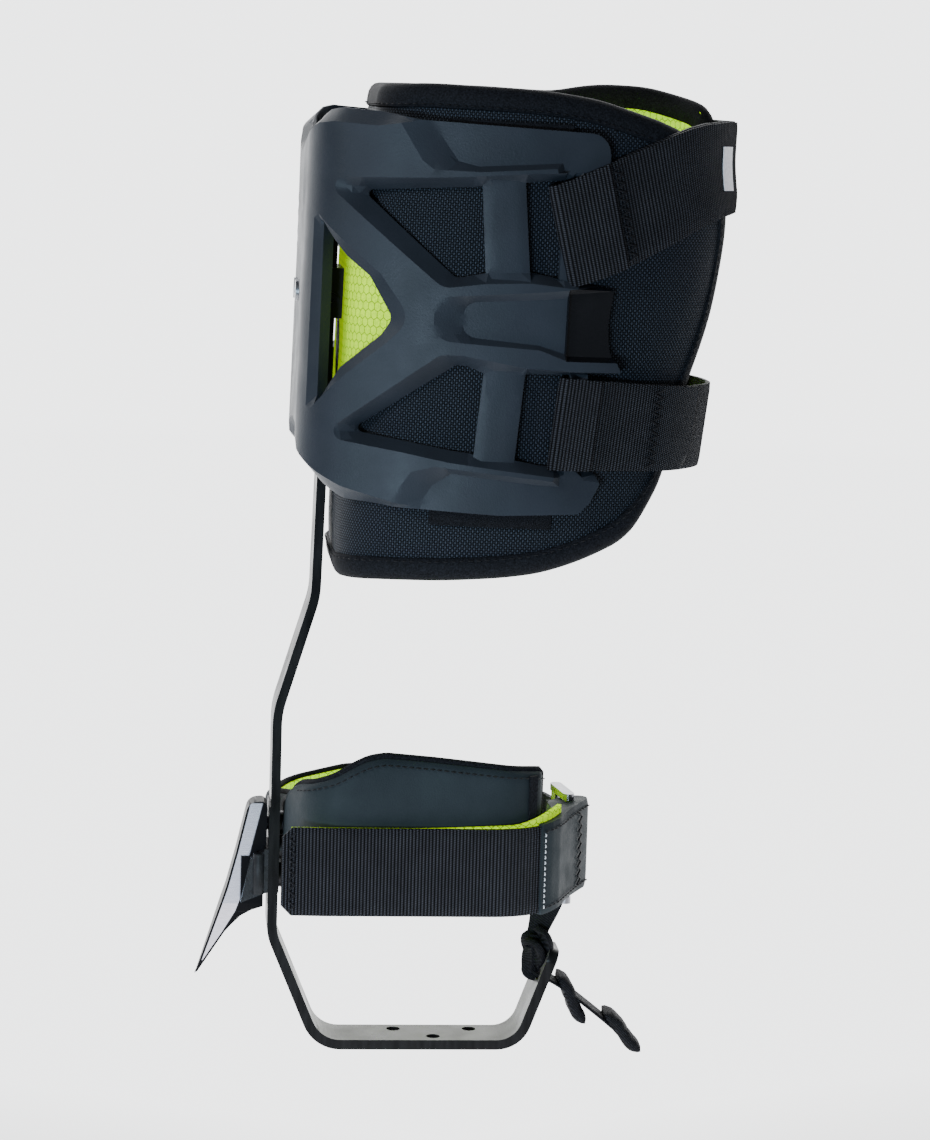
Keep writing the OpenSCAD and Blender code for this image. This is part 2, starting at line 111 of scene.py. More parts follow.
def open_path(points, n=8):
    """Open path whose two end points stay sharp."""
    out = []
    for i, p in enumerate(points):
        out += round_corner(points[i - 1], p, points[i + 1], p[2], n) if len(p) > 2 else [np.array(p, float)]
    return np.array(out)


def lengths(path):
    return np.concatenate([[0], np.cumsum(np.linalg.norm(np.diff(path, axis=0), axis=1))])


def resample(path, step):
    """The same path with even steps of about that length."""
    s = lengths(path)
    t = np.linspace(0, s[-1], max(2, int(round(s[-1] / step)) + 1))
    return np.stack([np.interp(t, s, path[:, k]) for k in range(path.shape[1])], 1)


def smooth_path(path, rounds):
    for _ in range(rounds):
        path[1:-1] = (path[:-2] + 2 * path[1:-1] + path[2:]) / 4
    return path


def left_normals(path):
    d = unit(np.gradient(path, axis=0))
    return np.stack([-d[:, 1], d[:, 0]], 1)


def signed(points, poly):
    """Distance of each point from a closed outline, positive inside."""
    a, b = poly, np.roll(poly, -1, axis=0)
    out = np.full(len(points), 1e9)
    inside = np.zeros(len(points), bool)
    for p, q in zip(a, b):
        d = q - p
        t = np.clip(((points - p) @ d) / max(d @ d, 1e-12), 0, 1)
        out = np.minimum(out, np.linalg.norm(points - p - t[:, None] * d, axis=1))
        if p[1] != q[1]:
            crosses = (p[1] > points[:, 1]) != (q[1] > points[:, 1])
            x = p[0] + (points[:, 1] - p[1]) * d[0] / d[1]
            inside ^= crosses & (points[:, 0] < x)
    return np.where(inside, out, -out)


def ramp(points, outer, inner):
    """0 outside the outer outline and 1 inside the inner one, linear between."""
    a, b = signed(points, outer), -signed(points, inner)
    return a / np.maximum(a + b, 1e-6)


def ease(t, k=0.03):
    """Clamps to 0-1 with rounded shoulders."""
    low = (t + np.sqrt(t * t + k * k)) / 2
    high = 1 - low
    return 1 - (high + np.sqrt(high * high + k * k)) / 2


def smoothstep(x, a, b):
    t = np.clip((np.asarray(x, float) - a) / (b - a), 0, 1)
    return t * t * (3 - 2 * t)


def parallel(poly, d):
    """Closed outline moved by d to its left."""
    before, after = np.roll(poly, 1, axis=0), np.roll(poly, -1, axis=0)
    keep = (np.linalg.norm(poly - before, axis=1) > 1e-6)
    poly, before, after = poly[keep], before[keep], after[keep]
    return poly + left_turn(unit(after - before)) * d


def left_turn(v):
    return np.stack([-v[:, 1], v[:, 0]], 1)


# Meshes ---------------------------------------------------------------------------------
def new_object(name, verts, faces, uv=None, sharp=35, face_slots=None):
    """A mesh object with outward normals, smooth faces and sharp edges above an angle in degrees."""
    name = name.replace(" ", "_")
    mesh = bpy.data.meshes.new(name)
    mesh.from_pydata(np.asarray(verts, float).tolist(), [], faces)
    if uv is not None:
        layer = mesh.uv_layers.new(name="plan")
        corner = np.zeros(len(mesh.loops), np.int32)
        mesh.loops.foreach_get("vertex_index", corner)
        layer.data.foreach_set("uv", np.asarray(uv, np.float32)[corner].ravel())
    obj = bpy.data.objects.new(name, mesh)
    scene.collection.objects.link(obj)
    finish_mesh(obj, sharp)
    if face_slots is not None:
        mesh.polygons.foreach_set("material_index", face_slots)
    return obj


def finish_mesh(obj, sharp=35):
    import bmesh
    bm = bmesh.new()
    bm.from_mesh(obj.data)
    bmesh.ops.recalc_face_normals(bm, faces=bm.faces)
    limit = math.radians(sharp)
    for e in bm.edges:
        e.smooth = len(e.link_faces) == 2 and e.calc_face_angle(0) < limit
    for f in bm.faces:
        f.smooth = True
    bm.to_mesh(obj.data)
    bm.free()


def grid_faces(n, m, start=0, closed=False):
    """Quads of an n by m grid of vertices; closed joins its last row to its first."""
    rows = n if closed else n - 1
    return [(start + i * m + j, start + (i + 1) % n * m + j, start + (i + 1) % n * m + j + 1, start + i * m + j + 1)
            for i in range(rows) for j in range(m - 1)]


def slab(name, outer, inner, uv=None, sharp=50, closed=False):
    """A closed plate between two grids of points, each of shape (n, m, 3)."""
    n, m = outer.shape[:2]
    count = n * m
    faces = grid_faces(n, m, 0, closed)
    faces += [tuple(reversed(f)) for f in grid_faces(n, m, count, closed)]
    ring = [(i, 0) for i in range(n)] + [(n - 1, j) for j in range(1, m)]
    ring += [(i, m - 1) for i in range(n - 2, -1, -1)] + [(0, j) for j in range(m - 2, 0, -1)]
    if closed:
        for j in (0, m - 1):
            side = [(i, j) for i in range(n)]
            faces += rim(side, m, count)
    else:
        faces += rim(ring, m, count)
    both = None if uv is None else np.concatenate([uv.reshape(-1, 2)] * 2)
    return new_object(name, np.concatenate([outer.reshape(-1, 3), inner.reshape(-1, 3)]), faces, both, sharp)


def rim(ring, m, count):
    out = []
    for (i, j), (k, l) in zip(ring, ring[1:] + ring[:1]):
        a, b = i * m + j, k * m + l
        out.append((b, a, a + count, b + count))
    return out


def sweep(name, rings, uv=None, sharp=50, closed=False):
    """A closed solid through rings of points, each of shape (m, 3); its ends are capped."""
    rings = np.asarray(rings, float)
    n, m = rings.shape[:2]
    last = n if closed else n - 1
    faces = [(i * m + j, i * m + (j + 1) % m, (i + 1) % n * m + (j + 1) % m, (i + 1) % n * m + j)
             for i in range(last) for j in range(m)]
    if not closed:
        faces += [tuple(range(m)), tuple((n - 1) * m + j for j in reversed(range(m)))]
    return new_object(name, rings.reshape(-1, 3), faces, uv, sharp)


def relief(name, region, lines, spacing, front, back, face_slot=None, sharp=13):
    """A plate over a plane region: front and back turn plane points into space.

    region(points) is positive inside; lines are the outlines that edges have to follow.
    """
    points, edges = [], []
    for line in lines:
        first = len(points)
        points += line.tolist()
        edges += [(first + i, first + (i + 1) % len(line)) for i in range(len(line))]
    every = np.concatenate(lines)
    low, high = every.min(0), every.max(0)
    xs = np.arange(low[0] + spacing / 2, high[0], spacing)
    ys = np.arange(low[1] + spacing / 2, high[1], spacing)
    g = np.stack(np.meshgrid(xs, ys), -1).reshape(-1, 2)
    clear = np.min([np.abs(signed(g, line)) for line in lines], axis=0) > spacing * 0.35
    points += g[clear & (region(g) > 0)].tolist()
    flat = [Vector(p) for p in points]
    co, _, tris = delaunay_2d_cdt(flat, edges, [], 0, 1e-4)[:3]
    co = np.array([tuple(p) for p in co])
    tris = np.array([t for t in tris if len(t) == 3])
    centre = co[tris].mean(1)
    area = np.abs(np.cross(co[tris[:, 1]] - co[tris[:, 0]], co[tris[:, 2]] - co[tris[:, 0]]))
    tris = tris[(region(centre) > 0) & (area > 1e-7)]
    used = np.unique(tris)
    index = np.full(len(co), -1)
    index[used] = np.arange(len(used))
    co, tris = co[used], index[tris]
    count = len(co)
    faces = [tuple(t) for t in tris.tolist()] + [(t[2] + count, t[1] + count, t[0] + count) for t in tris.tolist()]
    sides = {}
    for a, b, c in tris.tolist():
        for e in ((a, b), (b, c), (c, a)):
            sides[e] = True
    faces += [(e[1], e[0], e[0] + count, e[1] + count) for e in sides if (e[1], e[0]) not in sides]
    slots = None
    if face_slot is not None:
        mid = co[tris].mean(1)
        kind = face_slot(mid).astype(int).tolist()
        slots = kind + kind + [0] * (len(faces) - 2 * len(kind))
    obj = new_object(name, np.concatenate([front(co), back(co)]), faces, np.concatenate([co, co]), sharp, None)
    if slots is not None:
        obj.data.polygons.foreach_set("material_index", slots)
    return obj


def thread(points, out, radius, sides=6):
    """Rings of a thin round thread along a path; out gives the surface normal at each point."""
    along = unit(np.gradient(points, axis=0))
    side = unit(np.cross(along, out))
    up = np.cross(side, along)
    a = np.arange(sides) * 2 * math.pi / sides
    return points[:, None] + radius * (np.cos(a)[None, :, None] * side[:, None] + np.sin(a)[None, :, None] * up[:, None])


def stitches(name, path, out, length=2.6, gap=1.3, radius=0.34):
    """One object of separate short stitches along a path in metres; each dips at both ends."""
    s = lengths(path) / MM
    verts, faces = [], []
    start = gap
    while start + length < s[-1]:
        t = np.linspace(start, start + length, 5)
        p = np.stack([np.interp(t, s, path[:, k]) for k in range(3)], 1)
        n = unit(np.stack([np.interp(t, s, out[:, k]) for k in range(3)], 1))
        lift = np.array([-0.3, 0.15, 0.25, 0.15, -0.3]) * MM
        width = np.array([0.55, 1, 1, 1, 0.55])
        rings = thread(p + n * lift[:, None], n, radius * MM)
        rings = (rings - p[:, None]) * width[:, None, None] + p[:, None]
        first, m = len(verts), rings.shape[1]
        verts += rings.reshape(-1, 3).tolist()
        faces += [(first + i * m + j, first + i * m + (j + 1) % m, first + (i + 1) * m + (j + 1) % m,
                   first + (i + 1) * m + j) for i in range(4) for j in range(m)]
        faces += [tuple(first + j for j in range(m)), tuple(first + 4 * m + j for j in reversed(range(m)))]
        start += length + gap
    return new_object(name, verts, faces, sharp=60)


def zigzag(name, start, end, out, width, pitch=2.2, radius=0.38):
    """A zigzag of thread between two points in metres, across a strip of that width in mm."""
    start, end, out = (np.asarray(v, float) for v in (start, end, out))
    run = np.linalg.norm(end - start) / MM
    along = unit(end - start)
    across = unit(np.cross(out, along))
    turns = int(run / pitch)
    t = np.linspace(0, turns, turns * 8 + 1)
    wave = np.abs((t % 2) - 1) * 2 - 1
    wave = np.convolve(np.pad(wave, 1, mode="edge"), [0.25, 0.5, 0.25], "valid")
    lift = 0.35 - 0.3 * np.abs(wave) ** 6
    p = start + (t / turns * run * MM)[:, None] * along + (wave * width / 2 * MM)[:, None] * across
    p = p + (lift * MM)[:, None] * out
    return sweep(name, thread(p, np.tile(out, (len(p), 1)), radius * MM), sharp=60)


# Materials ------------------------------------------------------------------------------
class Shader:
    """A Principled material built from a few node helpers."""

    def __init__(self, name, colour, roughness=0.6, metallic=0.0, **plain):
        self.material = bpy.data.materials.new(name)
        self.material.use_nodes = True
        self.tree = self.material.node_tree
        self.bsdf = self.tree.nodes["Principled BSDF"]
        self.set("Base Color", (*colour, 1))
        self.set("Roughness", roughness)
        self.set("Metallic", metallic)
        for key, value in plain.items():
            self.set(key.replace("_", " ").title().replace("Ior", "IOR"), value)
        self.material.diffuse_color = (*colour, 1)
        self.height = None

    def set(self, socket, value):
        self.bsdf.inputs[socket].default_value = value

    def node(self, kind, **inputs):
        n = self.tree.nodes.new(kind)
        for key, value in inputs.items():
            socket = n.inputs[int(key[1:])] if key[0] == "i" and key[1:].isdigit() else n.inputs[key.replace("_", " ")]
            self.feed(socket, value)
        return n

    def feed(self, socket, value):
        if isinstance(value, bpy.types.NodeSocket):
            self.tree.links.new(value, socket)
        else:
            socket.default_value = value

    def math(self, operation, a, b=0.0, c=0.0):
        n = self.tree.nodes.new("ShaderNodeMath")
        n.operation = operation
        for k, value in enumerate((a, b, c)):
            self.feed(n.inputs[k], value)
        return n.outputs[0]

    def vector(self, operation, a, b=(0, 0, 0)):
        n = self.tree.nodes.new("ShaderNodeVectorMath")
        n.operation = operation
        self.feed(n.inputs[0], a)
        self.feed(n.inputs[1], b)
        return n.outputs["Value"] if operation in ("LENGTH", "DOT_PRODUCT") else n.outputs[0]

    def split(self, vector):
        return self.node("ShaderNodeSeparateXYZ", Vector=vector).outputs

    def place(self):
        return self.node("ShaderNodeTexCoord").outputs["Object"]

    def plan(self):
        n = self.tree.nodes.new("ShaderNodeUVMap")
        n.uv_map = "plan"
        return n.outputs["UV"]

    def noise(self, scale, detail=3.0, where=None, roughness=0.5):
        n = self.node("ShaderNodeTexNoise", Vector=where or self.place(), Scale=scale, Detail=detail,
                      Roughness=roughness)
        return n.outputs["Fac"]

    def cells(self, scale, where=None, feature="F1"):
        n = self.node("ShaderNodeTexVoronoi", Vector=where or self.place(), Scale=scale)
        n.feature = feature
        return n.outputs["Distance"]

    def span(self, value, low, high, out_low=0.0, out_high=1.0):
        n = self.node("ShaderNodeMapRange", Value=value)
        n.inputs["From Min"].default_value = low
        n.inputs["From Max"].default_value = high
        n.inputs["To Min"].default_value = out_low
        n.inputs["To Max"].default_value = out_high
        return n.outputs["Result"]

    def mix(self, factor, a, b):
        n = self.tree.nodes.new("ShaderNodeMix")
        n.data_type = "RGBA"
        self.feed(n.inputs[0], factor)
        self.feed(n.inputs[6], (*a, 1) if isinstance(a, tuple) and len(a) == 3 else a)
        self.feed(n.inputs[7], (*b, 1) if isinstance(b, tuple) and len(b) == 3 else b)
        return n.outputs[2]

    def colour(self, value):
        self.feed(self.bsdf.inputs["Base Color"], value)

    def rough(self, value):
        self.feed(self.bsdf.inputs["Roughness"], value)

    def bump(self, height, distance, strength=1.0):
        """Adds one layer of relief, in metres, on top of those before it."""
        n = self.node("ShaderNodeBump", Height=height, Strength=strength, Distance=distance)
        if self.height is not None:
            self.tree.links.new(self.height, n.inputs["Normal"])
        self.height = n.outputs["Normal"]
        self.tree.links.new(self.height, self.bsdf.inputs["Normal"])


def shell_plastic():
    s = Shader("shell_plastic", (0.007, 0.009, 0.012), roughness=0.4, specular_ior_level=0.13)
    cloud = s.noise(22, 4)
    s.colour(s.mix(s.span(cloud, 0.3, 0.7), (0.0135, 0.0166, 0.0222), (0.0205, 0.0250, 0.0335)))
    s.rough(s.span(s.noise(60, 3), 0.3, 0.7, 0.38, 0.5))
    s.bump(s.noise(2300, 2), 0.00012, 0.55)
    s.bump(s.cells(900), 0.00008, 0.35)
    return s.material


def slider_plastic():
    s = Shader("slider_plastic", (0.005, 0.005, 0.006), roughness=0.34, specular_ior_level=0.2)
    s.rough(s.span(s.noise(140, 3), 0.3, 0.7, 0.28, 0.42))
    s.bump(s.noise(1800, 2), 0.00005, 0.4)
    return s.material


def gloss_plastic():
    s = Shader("shell_gloss", (0.004, 0.0045, 0.006), roughness=0.16, specular_ior_level=0.4)
    s.rough(s.span(s.noise(90, 3), 0.3, 0.7, 0.12, 0.24))
    s.bump(s.noise(700, 2), 0.00004, 0.3)
    return s.material


def anodised_black():
    s = Shader("anodised_black", (0.008, 0.008, 0.009), roughness=0.3, specular_ior_level=0.06)
    scratch = s.noise(1, 4, s.vector("MULTIPLY", s.place(), (420, 420, 60)))
    black = s.mix(s.span(scratch, 0.35, 0.75), (0.003, 0.003, 0.0035), (0.009, 0.009, 0.010))
    geometry = s.tree.nodes.new("ShaderNodeNewGeometry")
    facing = s.math("ABSOLUTE", s.split(geometry.outputs["True Normal"])[1])
    where = s.split(s.place())
    low = s.span(where[2], 0.062, 0.040)
    normal = s.split(geometry.outputs["True Normal"])
    inward = s.math("SUBTRACT", normal[2], s.math("MULTIPLY", s.math("MULTIPLY", normal[0], where[0]), 20.0))
    # Painted sheen: low on the metal, faces that point up or inward and not along y get a lighter grey that stands in
    # for light falling on them; the next line gives that painted sheen's colour, varied at random.
    painted_sheen_mask = s.math("MULTIPLY", s.math("MULTIPLY", s.span(facing, 0.3, 0.1), low), s.span(inward, 0.1, 0.35))
    painted_sheen_tone = s.mix(s.span(s.noise(55, 4), 0.3, 0.7), (0.06, 0.056, 0.057), (0.105, 0.1, 0.1))
    s.colour(s.mix(painted_sheen_mask, black, painted_sheen_tone))
    s.rough(s.span(s.noise(75, 4), 0.3, 0.7, 0.24, 0.4))
    s.bump(s.noise(1400, 2), 0.00005, 0.35)
    return s.material


def gaff_steel():
    s = Shader("gaff_steel", (0.66, 0.65, 0.69), roughness=0.28, metallic=1.0)
    brush = s.noise(1, 3, s.vector("MULTIPLY", s.place(), (260, 900, 2200)))
    s.colour(s.mix(s.span(brush, 0.3, 0.7), (0.58, 0.57, 0.62), (0.74, 0.73, 0.77)))
    s.rough(s.span(brush, 0.3, 0.7, 0.22, 0.38))
    s.bump(brush, 0.00003, 0.4)
    return s.material


def tip_steel():
    s = Shader("tip_steel", (0.8, 0.79, 0.78), roughness=0.2, metallic=1.0)
    s.rough(s.span(s.noise(900, 3), 0.3, 0.7, 0.15, 0.3))
    s.bump(s.noise(2600, 2), 0.00003, 0.3)
    return s.material


def cast_black(name, colour, roughness, grain, depth):
    s = Shader(name, colour, roughness=roughness, specular_ior_level=0.1)
    s.colour(s.mix(s.span(s.noise(300, 4), 0.35, 0.7), colour, tuple(c * 1.9 for c in colour)))
    s.rough(s.span(s.noise(200, 3), 0.3, 0.7, roughness - 0.08, roughness + 0.1))
    s.bump(s.noise(grain, 3), depth, 0.6)
    return s.material


def steel(name, colour, roughness):
    s = Shader(name, colour, roughness=roughness, metallic=1.0)
    s.rough(s.span(s.noise(500, 3), 0.3, 0.7, roughness - 0.06, roughness + 0.1))
    s.bump(s.noise(1500, 2), 0.00003, 0.3)
    return s.material


def weave(s, pitch):
    """Height of a plain weave with that yarn pitch in mm, and a factor that tells warp from weft."""
    out = s.split(s.plan())
    u = s.math("MULTIPLY", out[0], math.pi / pitch)
    v = s.math("MULTIPLY", out[1], math.pi / pitch)
    su, sv = s.math("SINE", u), s.math("SINE", v)
    over = s.math("MULTIPLY", su, sv)
    warp = s.math("ABSOLUTE", s.math("SINE", s.math("MULTIPLY", u, 1.0)))
    weft = s.math("ABSOLUTE", s.math("SINE", s.math("MULTIPLY", v, 1.0)))
    over = s.span(over, -0.25, 0.25)
    mixed = s.math("ADD", s.math("MULTIPLY", over, warp),
                   s.math("MULTIPLY", s.math("SUBTRACT", 1.0, over), weft))
    return mixed, over


def pad_fabric():
    s = Shader("pad_fabric", (0.006, 0.006, 0.008), roughness=0.66, specular_ior_level=0.06)
    height, over = weave(s, 1.1)
    dark = s.mix(over, (0.008, 0.0105, 0.0145), (0.036, 0.045, 0.062))
    fuzz = s.span(s.noise(70, 4), 0.3, 0.7)
    # Near black where the weave is low and lighter on the yarn tops: painted shade between the yarns and painted
    # highlight on them.
    s.colour(s.mix(s.span(height, 0.35, 1.0), (0.0006, 0.0007, 0.001), s.mix(s.math("MULTIPLY", fuzz, 0.4), dark, (0.018, 0.022, 0.030))))
    s.rough(s.span(height, 0, 1, 0.75, 0.5))
    s.bump(height, 0.00022, 0.9)
    s.bump(s.noise(2600, 2), 0.00005, 0.4)
    return s.material


def binding_tape():
    s = Shader("binding_tape", (0.006, 0.006, 0.008), roughness=0.68, specular_ior_level=0.05)
    grain = s.noise(1500, 3)
    s.colour(s.mix(s.span(grain, 0.35, 0.7), (0.003, 0.0032, 0.004), (0.012, 0.013, 0.017)))
    s.bump(grain, 0.00012, 0.7)
    s.bump(s.noise(120, 3), 0.0004, 0.5)
    return s.material


def thread_black(name="thread_black", colour=(0.006, 0.0062, 0.008)):
    s = Shader(name, colour, roughness=0.6, specular_ior_level=0.12)
    s.bump(s.noise(3000, 2), 0.0001, 0.6)
    return s.material


def mesh_green():
    """Yellow-green spacer mesh with hexagons about 4 mm wide; it also glows with its own colour, a painted glow."""
    s = Shader("mesh_green", (0.5, 0.72, 0.01), roughness=0.8, specular_ior_level=0.0)
    size = 4.0
    p = s.vector("DIVIDE", s.plan(), (size, size, 1))
    lattice = (1.0, 1.7320508, 1.0)
    half = (0.5, 0.8660254, 0.5)

    def to_cell(vector):
        q = s.vector("SUBTRACT", s.vector("MODULO", vector, lattice), half)
        q = s.split(s.vector("ABSOLUTE", q))
        slant = s.math("ADD", s.math("MULTIPLY", q[0], 0.5), s.math("MULTIPLY", q[1], 0.8660254))
        return s.math("MAXIMUM", q[0], slant)

    far = (200.0, 346.41016, 0.0)       # keeps the modulo positive
    first = to_cell(s.vector("ADD", p, far))
    second = to_cell(s.vector("ADD", p, tuple(a + b for a, b in zip(far, (0.5, 0.8660254, 0)))))
    d = s.math("MINIMUM", first, second)
    line = s.span(d, 0.43, 0.5)
    pores = s.cells(1100)
    body = s.mix(s.span(pores, 0.1, 0.6), (0.62, 0.94, 0.0), (0.40, 0.68, 0.0))
    body = s.mix(s.span(s.noise(160, 3), 0.35, 0.7), body, (0.52, 0.84, 0.0))
    colour_and_glow = s.mix(line, body, (0.10, 0.26, 0.0))
    s.colour(colour_and_glow)
    # Painted glow: the mesh emits its own colour, so it looks brighter though it is no lamp.
    s.feed(s.bsdf.inputs["Emission Color"], colour_and_glow)
    s.set("Emission Strength", 0.5)
    s.bump(s.math("MULTIPLY", line, -1.0), 0.0004, 0.7)
    s.bump(pores, 0.00025, 0.6)
    return s.material


def webbing_black():
    """Ribs lie along v; u runs along the strap, both in mm."""
    s = Shader("webbing_black", (0.006, 0.006, 0.008), roughness=0.62, specular_ior_level=0.08)
    out = s.split(s.plan())
    rib = s.math("ABSOLUTE", s.math("SINE", s.math("MULTIPLY", out[0], math.pi / RIB)))
    skew = s.math("ADD", out[1], s.math("MULTIPLY", out[0], 0.5 * TWILL / RIB))
    grain = s.math("ABSOLUTE", s.math("SINE", s.math("MULTIPLY", skew, math.pi / TWILL)))
    height = s.math("MULTIPLY", rib, s.span(grain, 0, 1, 0.3, 1.0))
    # Painted highlight on the rib crests, whose tone changes at random, and painted shade, near black, in the gaps
    # between the ribs.
    painted_sheen_tone = s.span(s.noise(90, 4), 0.35, 0.7)
    top = s.mix(painted_sheen_tone, (0.036, 0.038, 0.047), (0.047, 0.050, 0.061))
    s.colour(s.mix(s.span(height, 0.35, 0.95), (0.0006, 0.0006, 0.0009), top))
    s.bump(height, 0.0005, 0.9)
    s.bump(s.noise(2600, 2), 0.00006, 0.5)
    return s.material


def tether_black():
    s = Shader("tether_black", (0.006, 0.006, 0.008), roughness=0.65, specular_ior_level=0.06)
    wave = s.node("ShaderNodeTexWave", Vector=s.place(), Scale=520.0, Distortion=1.2, Detail=2.0)
    wave.inputs["Detail Scale"].default_value = 3.0
    wave.bands_direction = "DIAGONAL"
    grain = s.noise(1300, 3)
    height = s.math("MULTIPLY", wave.outputs["Fac"], s.span(grain, 0.25, 0.75))
    s.colour(s.mix(height, (0.001, 0.001, 0.0014), (0.017, 0.018, 0.023)))
    s.bump(height, 0.0003, 0.9)
    return s.material


def leather_grey():
    s = Shader("leather_grey", (0.02, 0.026, 0.031), roughness=0.5, specular_ior_level=0.06)
    cloud = s.noise(34, 4)
    s.colour(s.mix(s.span(cloud, 0.3, 0.72), (0.0125, 0.0172, 0.0205), (0.019, 0.0255, 0.030)))
    s.rough(s.span(s.noise(120, 3), 0.3, 0.7, 0.44, 0.6))
    s.bump(s.cells(1500), 0.00012, 0.45)
    s.bump(s.noise(55, 3), 0.0012, 0.35)
    return s.material


def hook_tape():
    s = Shader("hook_tape", (0.005, 0.005, 0.007), roughness=0.85, specular_ior_level=0.1)
    pile = s.noise(1900, 4)
    s.colour(s.mix(s.span(pile, 0.3, 0.75), (0.001, 0.001, 0.0015), (0.012, 0.013, 0.017)))
    s.bump(pile, 0.0007, 0.9)
    return s.material


def label_white():
    s = Shader("label_white", (0.72, 0.71, 0.75), roughness=0.7, sheen_weight=0.2)
    s.colour(s.mix(s.span(s.noise(900, 3), 0.35, 0.7), (0.6, 0.59, 0.64), (0.8, 0.79, 0.82)))
    s.bump(s.noise(2200, 2), 0.00015, 0.7)
    return s.material


RIB = 1.5                    # pitch of the webbing's ribs, mm
TWILL = 0.8                  # pitch of the fine twill across them, mm

MATERIAL = {
    "shell_plastic": shell_plastic(), "slider_plastic": slider_plastic(), "anodised_black": anodised_black(),
    "gaff_steel": gaff_steel(), "pad_fabric": pad_fabric(), "mesh_green": mesh_green(),
    "webbing_black": webbing_black(), "tether_black": tether_black(), "leather_grey": leather_grey(),
    "hook_tape": hook_tape(), "holder_black": cast_black("holder_black", (0.008, 0.0085, 0.010), 0.42, 900, 0.0004),
    "fastener_black": steel("fastener_black", (0.02, 0.02, 0.022), 0.35),
    "fastener_steel": steel("fastener_steel", (0.35, 0.36, 0.38), 0.32),
    "ring_steel": steel("ring_steel", (0.22, 0.22, 0.24), 0.24),
}
GLOSS = gloss_plastic()
BINDING = binding_tape()
THREAD = thread_black()
THREAD_PALE = thread_black("thread_pale", (0.5, 0.52, 0.55))
LABEL = label_white()
TIP = tip_steel()
BLACK_EDGE = cast_black("gaff_black", (0.012, 0.012, 0.015), 0.3, 1200, 0.00008)


def place(obj, body, slot, *replaced, material=None):
    """Gives a piece its material and its body, and hides the CAD nodes that it stands for."""
    if not obj.data.materials:
        obj.data.materials.append(material or MATERIAL[slot])
    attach(obj, body)
    if replaced:
        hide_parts(*replaced)
    return obj


# Cuff frame -----------------------------------------------------------------------------
CUFF_ORIGIN = (-48.2, 333.5)
LEAN = math.radians(1.5)
WING_R, WING_C, WING_END = 190.0, np.array([75.0, 120.0]), math.radians(15.26)
SIDE_RUN = 15.0
STEP = 0.5


class Loop:
    """Half of the cuff's plan as a function of the run s from the medial wall, mirrored for the far side."""

    def __init__(self, wall, corner):
        cx = wall + corner
        cy = WING_C[1] - math.sqrt((WING_R - corner) ** 2 - (WING_C[0] - cx) ** 2)
        a1 = math.atan2(cy - WING_C[1], cx - WING_C[0]) + 2 * math.pi
        a2 = 1.5 * math.pi + WING_END
        side = WING_C + WING_R * np.array([math.cos(a2), math.sin(a2)])
        side = side + SIDE_RUN * np.array([math.cos(WING_END), math.sin(WING_END)])
        side_r = -side[1] / math.cos(WING_END)
        centre = np.array([side[0] - side_r * math.sin(WING_END), 0.0])
        pts, inward = [], []
        for t in np.arange(0, -cy, STEP):
            pts.append((wall, -t))
            inward.append((1, 0))
        arcs = (((cx, cy), corner, math.pi, a1), (WING_C, WING_R, a1, a2))
        for mid, r, start, end in arcs:
            for a in np.linspace(start, end, int(r * (end - start) / STEP)):
                pts.append((mid[0] + r * math.cos(a), mid[1] + r * math.sin(a)))
                inward.append((-math.cos(a), -math.sin(a)))
        a2 -= 2 * math.pi
        for a in np.linspace(a2, 0, int(side_r * -a2 / STEP)):
            pts.append((centre[0] + side_r * math.cos(a), side_r * math.sin(a)))
            inward.append((-math.cos(a), -math.sin(a)))
        self.pts, self.inward = np.array(pts), np.array(inward)
        self.s = lengths(self.pts)
        self.half = self.s[-1]

    def at(self, s):
        """Plan points and inward normals; s may be negative or past the half for the far side."""
        s = np.mod(np.asarray(s, float) + self.half, 2 * self.half) - self.half
        far = np.sign(s) + (s == 0)
        t = np.abs(s)
        p = np.stack([np.interp(t, self.s, self.pts[:, k]) for k in (0, 1)], -1)
        n = np.stack([np.interp(t, self.s, self.inward[:, k]) for k in (0, 1)], -1)
        p[..., 1] *= far
        n[..., 1] *= far
        return p, n

    def run(self, x):
        """The run at which the near side reaches that x."""
        return float(np.interp(x, self.pts[:, 0], self.s))


SHELL = Loop(-14.0, 25.0)
PAD = Loop(-3.1, 32.7)


def on_cuff(loop, s, off, z):
    """World points in metres from the run, the inward offset and the height in the cuff's frame."""
    s, off, z = np.broadcast_arrays(*(np.asarray(v, float) for v in (s, off, z)))
    p, n = loop.at(s)
    p = p + off[..., None] * n
    taper = 0.0867 * np.clip(50 - z, 0, 170) + 3.2 * smoothstep(z, 44, 76)
    taper = taper * smoothstep(p[..., 0], 125, 175)
    x = p[..., 0] - taper
    return np.stack([CUFF_ORIGIN[0] + x * math.cos(LEAN) + z * math.sin(LEAN), p[..., 1],
                     CUFF_ORIGIN[1] - x * math.sin(LEAN) + z * math.cos(LEAN)], -1) * MM


def outward(loop, s):
    """World direction out of the cuff at a run."""
    n = -loop.at(s)[1]
    return np.stack([n[..., 0] * math.cos(LEAN), n[..., 1], -n[..., 0] * math.sin(LEAN)], -1)


def on_pad(s, off, z):
    """As on_cuff for the pad, whose medial side leans in above the wedge windows."""
    s, off, z = np.broadcast_arrays(*(np.asarray(v, float) for v in (s, off, z)))
    place_at = on_cuff(PAD, s, off, z)
    x = PAD.at(s)[0][..., 0]
    place_at[..., 0] += MM * 9.0 * smoothstep(z, 46, 96) * (1 - smoothstep(x, 10, 62))
    bulge = 3.2 * smoothstep(z, -40, 10) * (1 - smoothstep(z, 55, 80)) + 3.2 * smoothstep(z, 44, 76)
    place_at[..., 0] += MM * bulge * smoothstep(x, 125, 170)
    return place_at


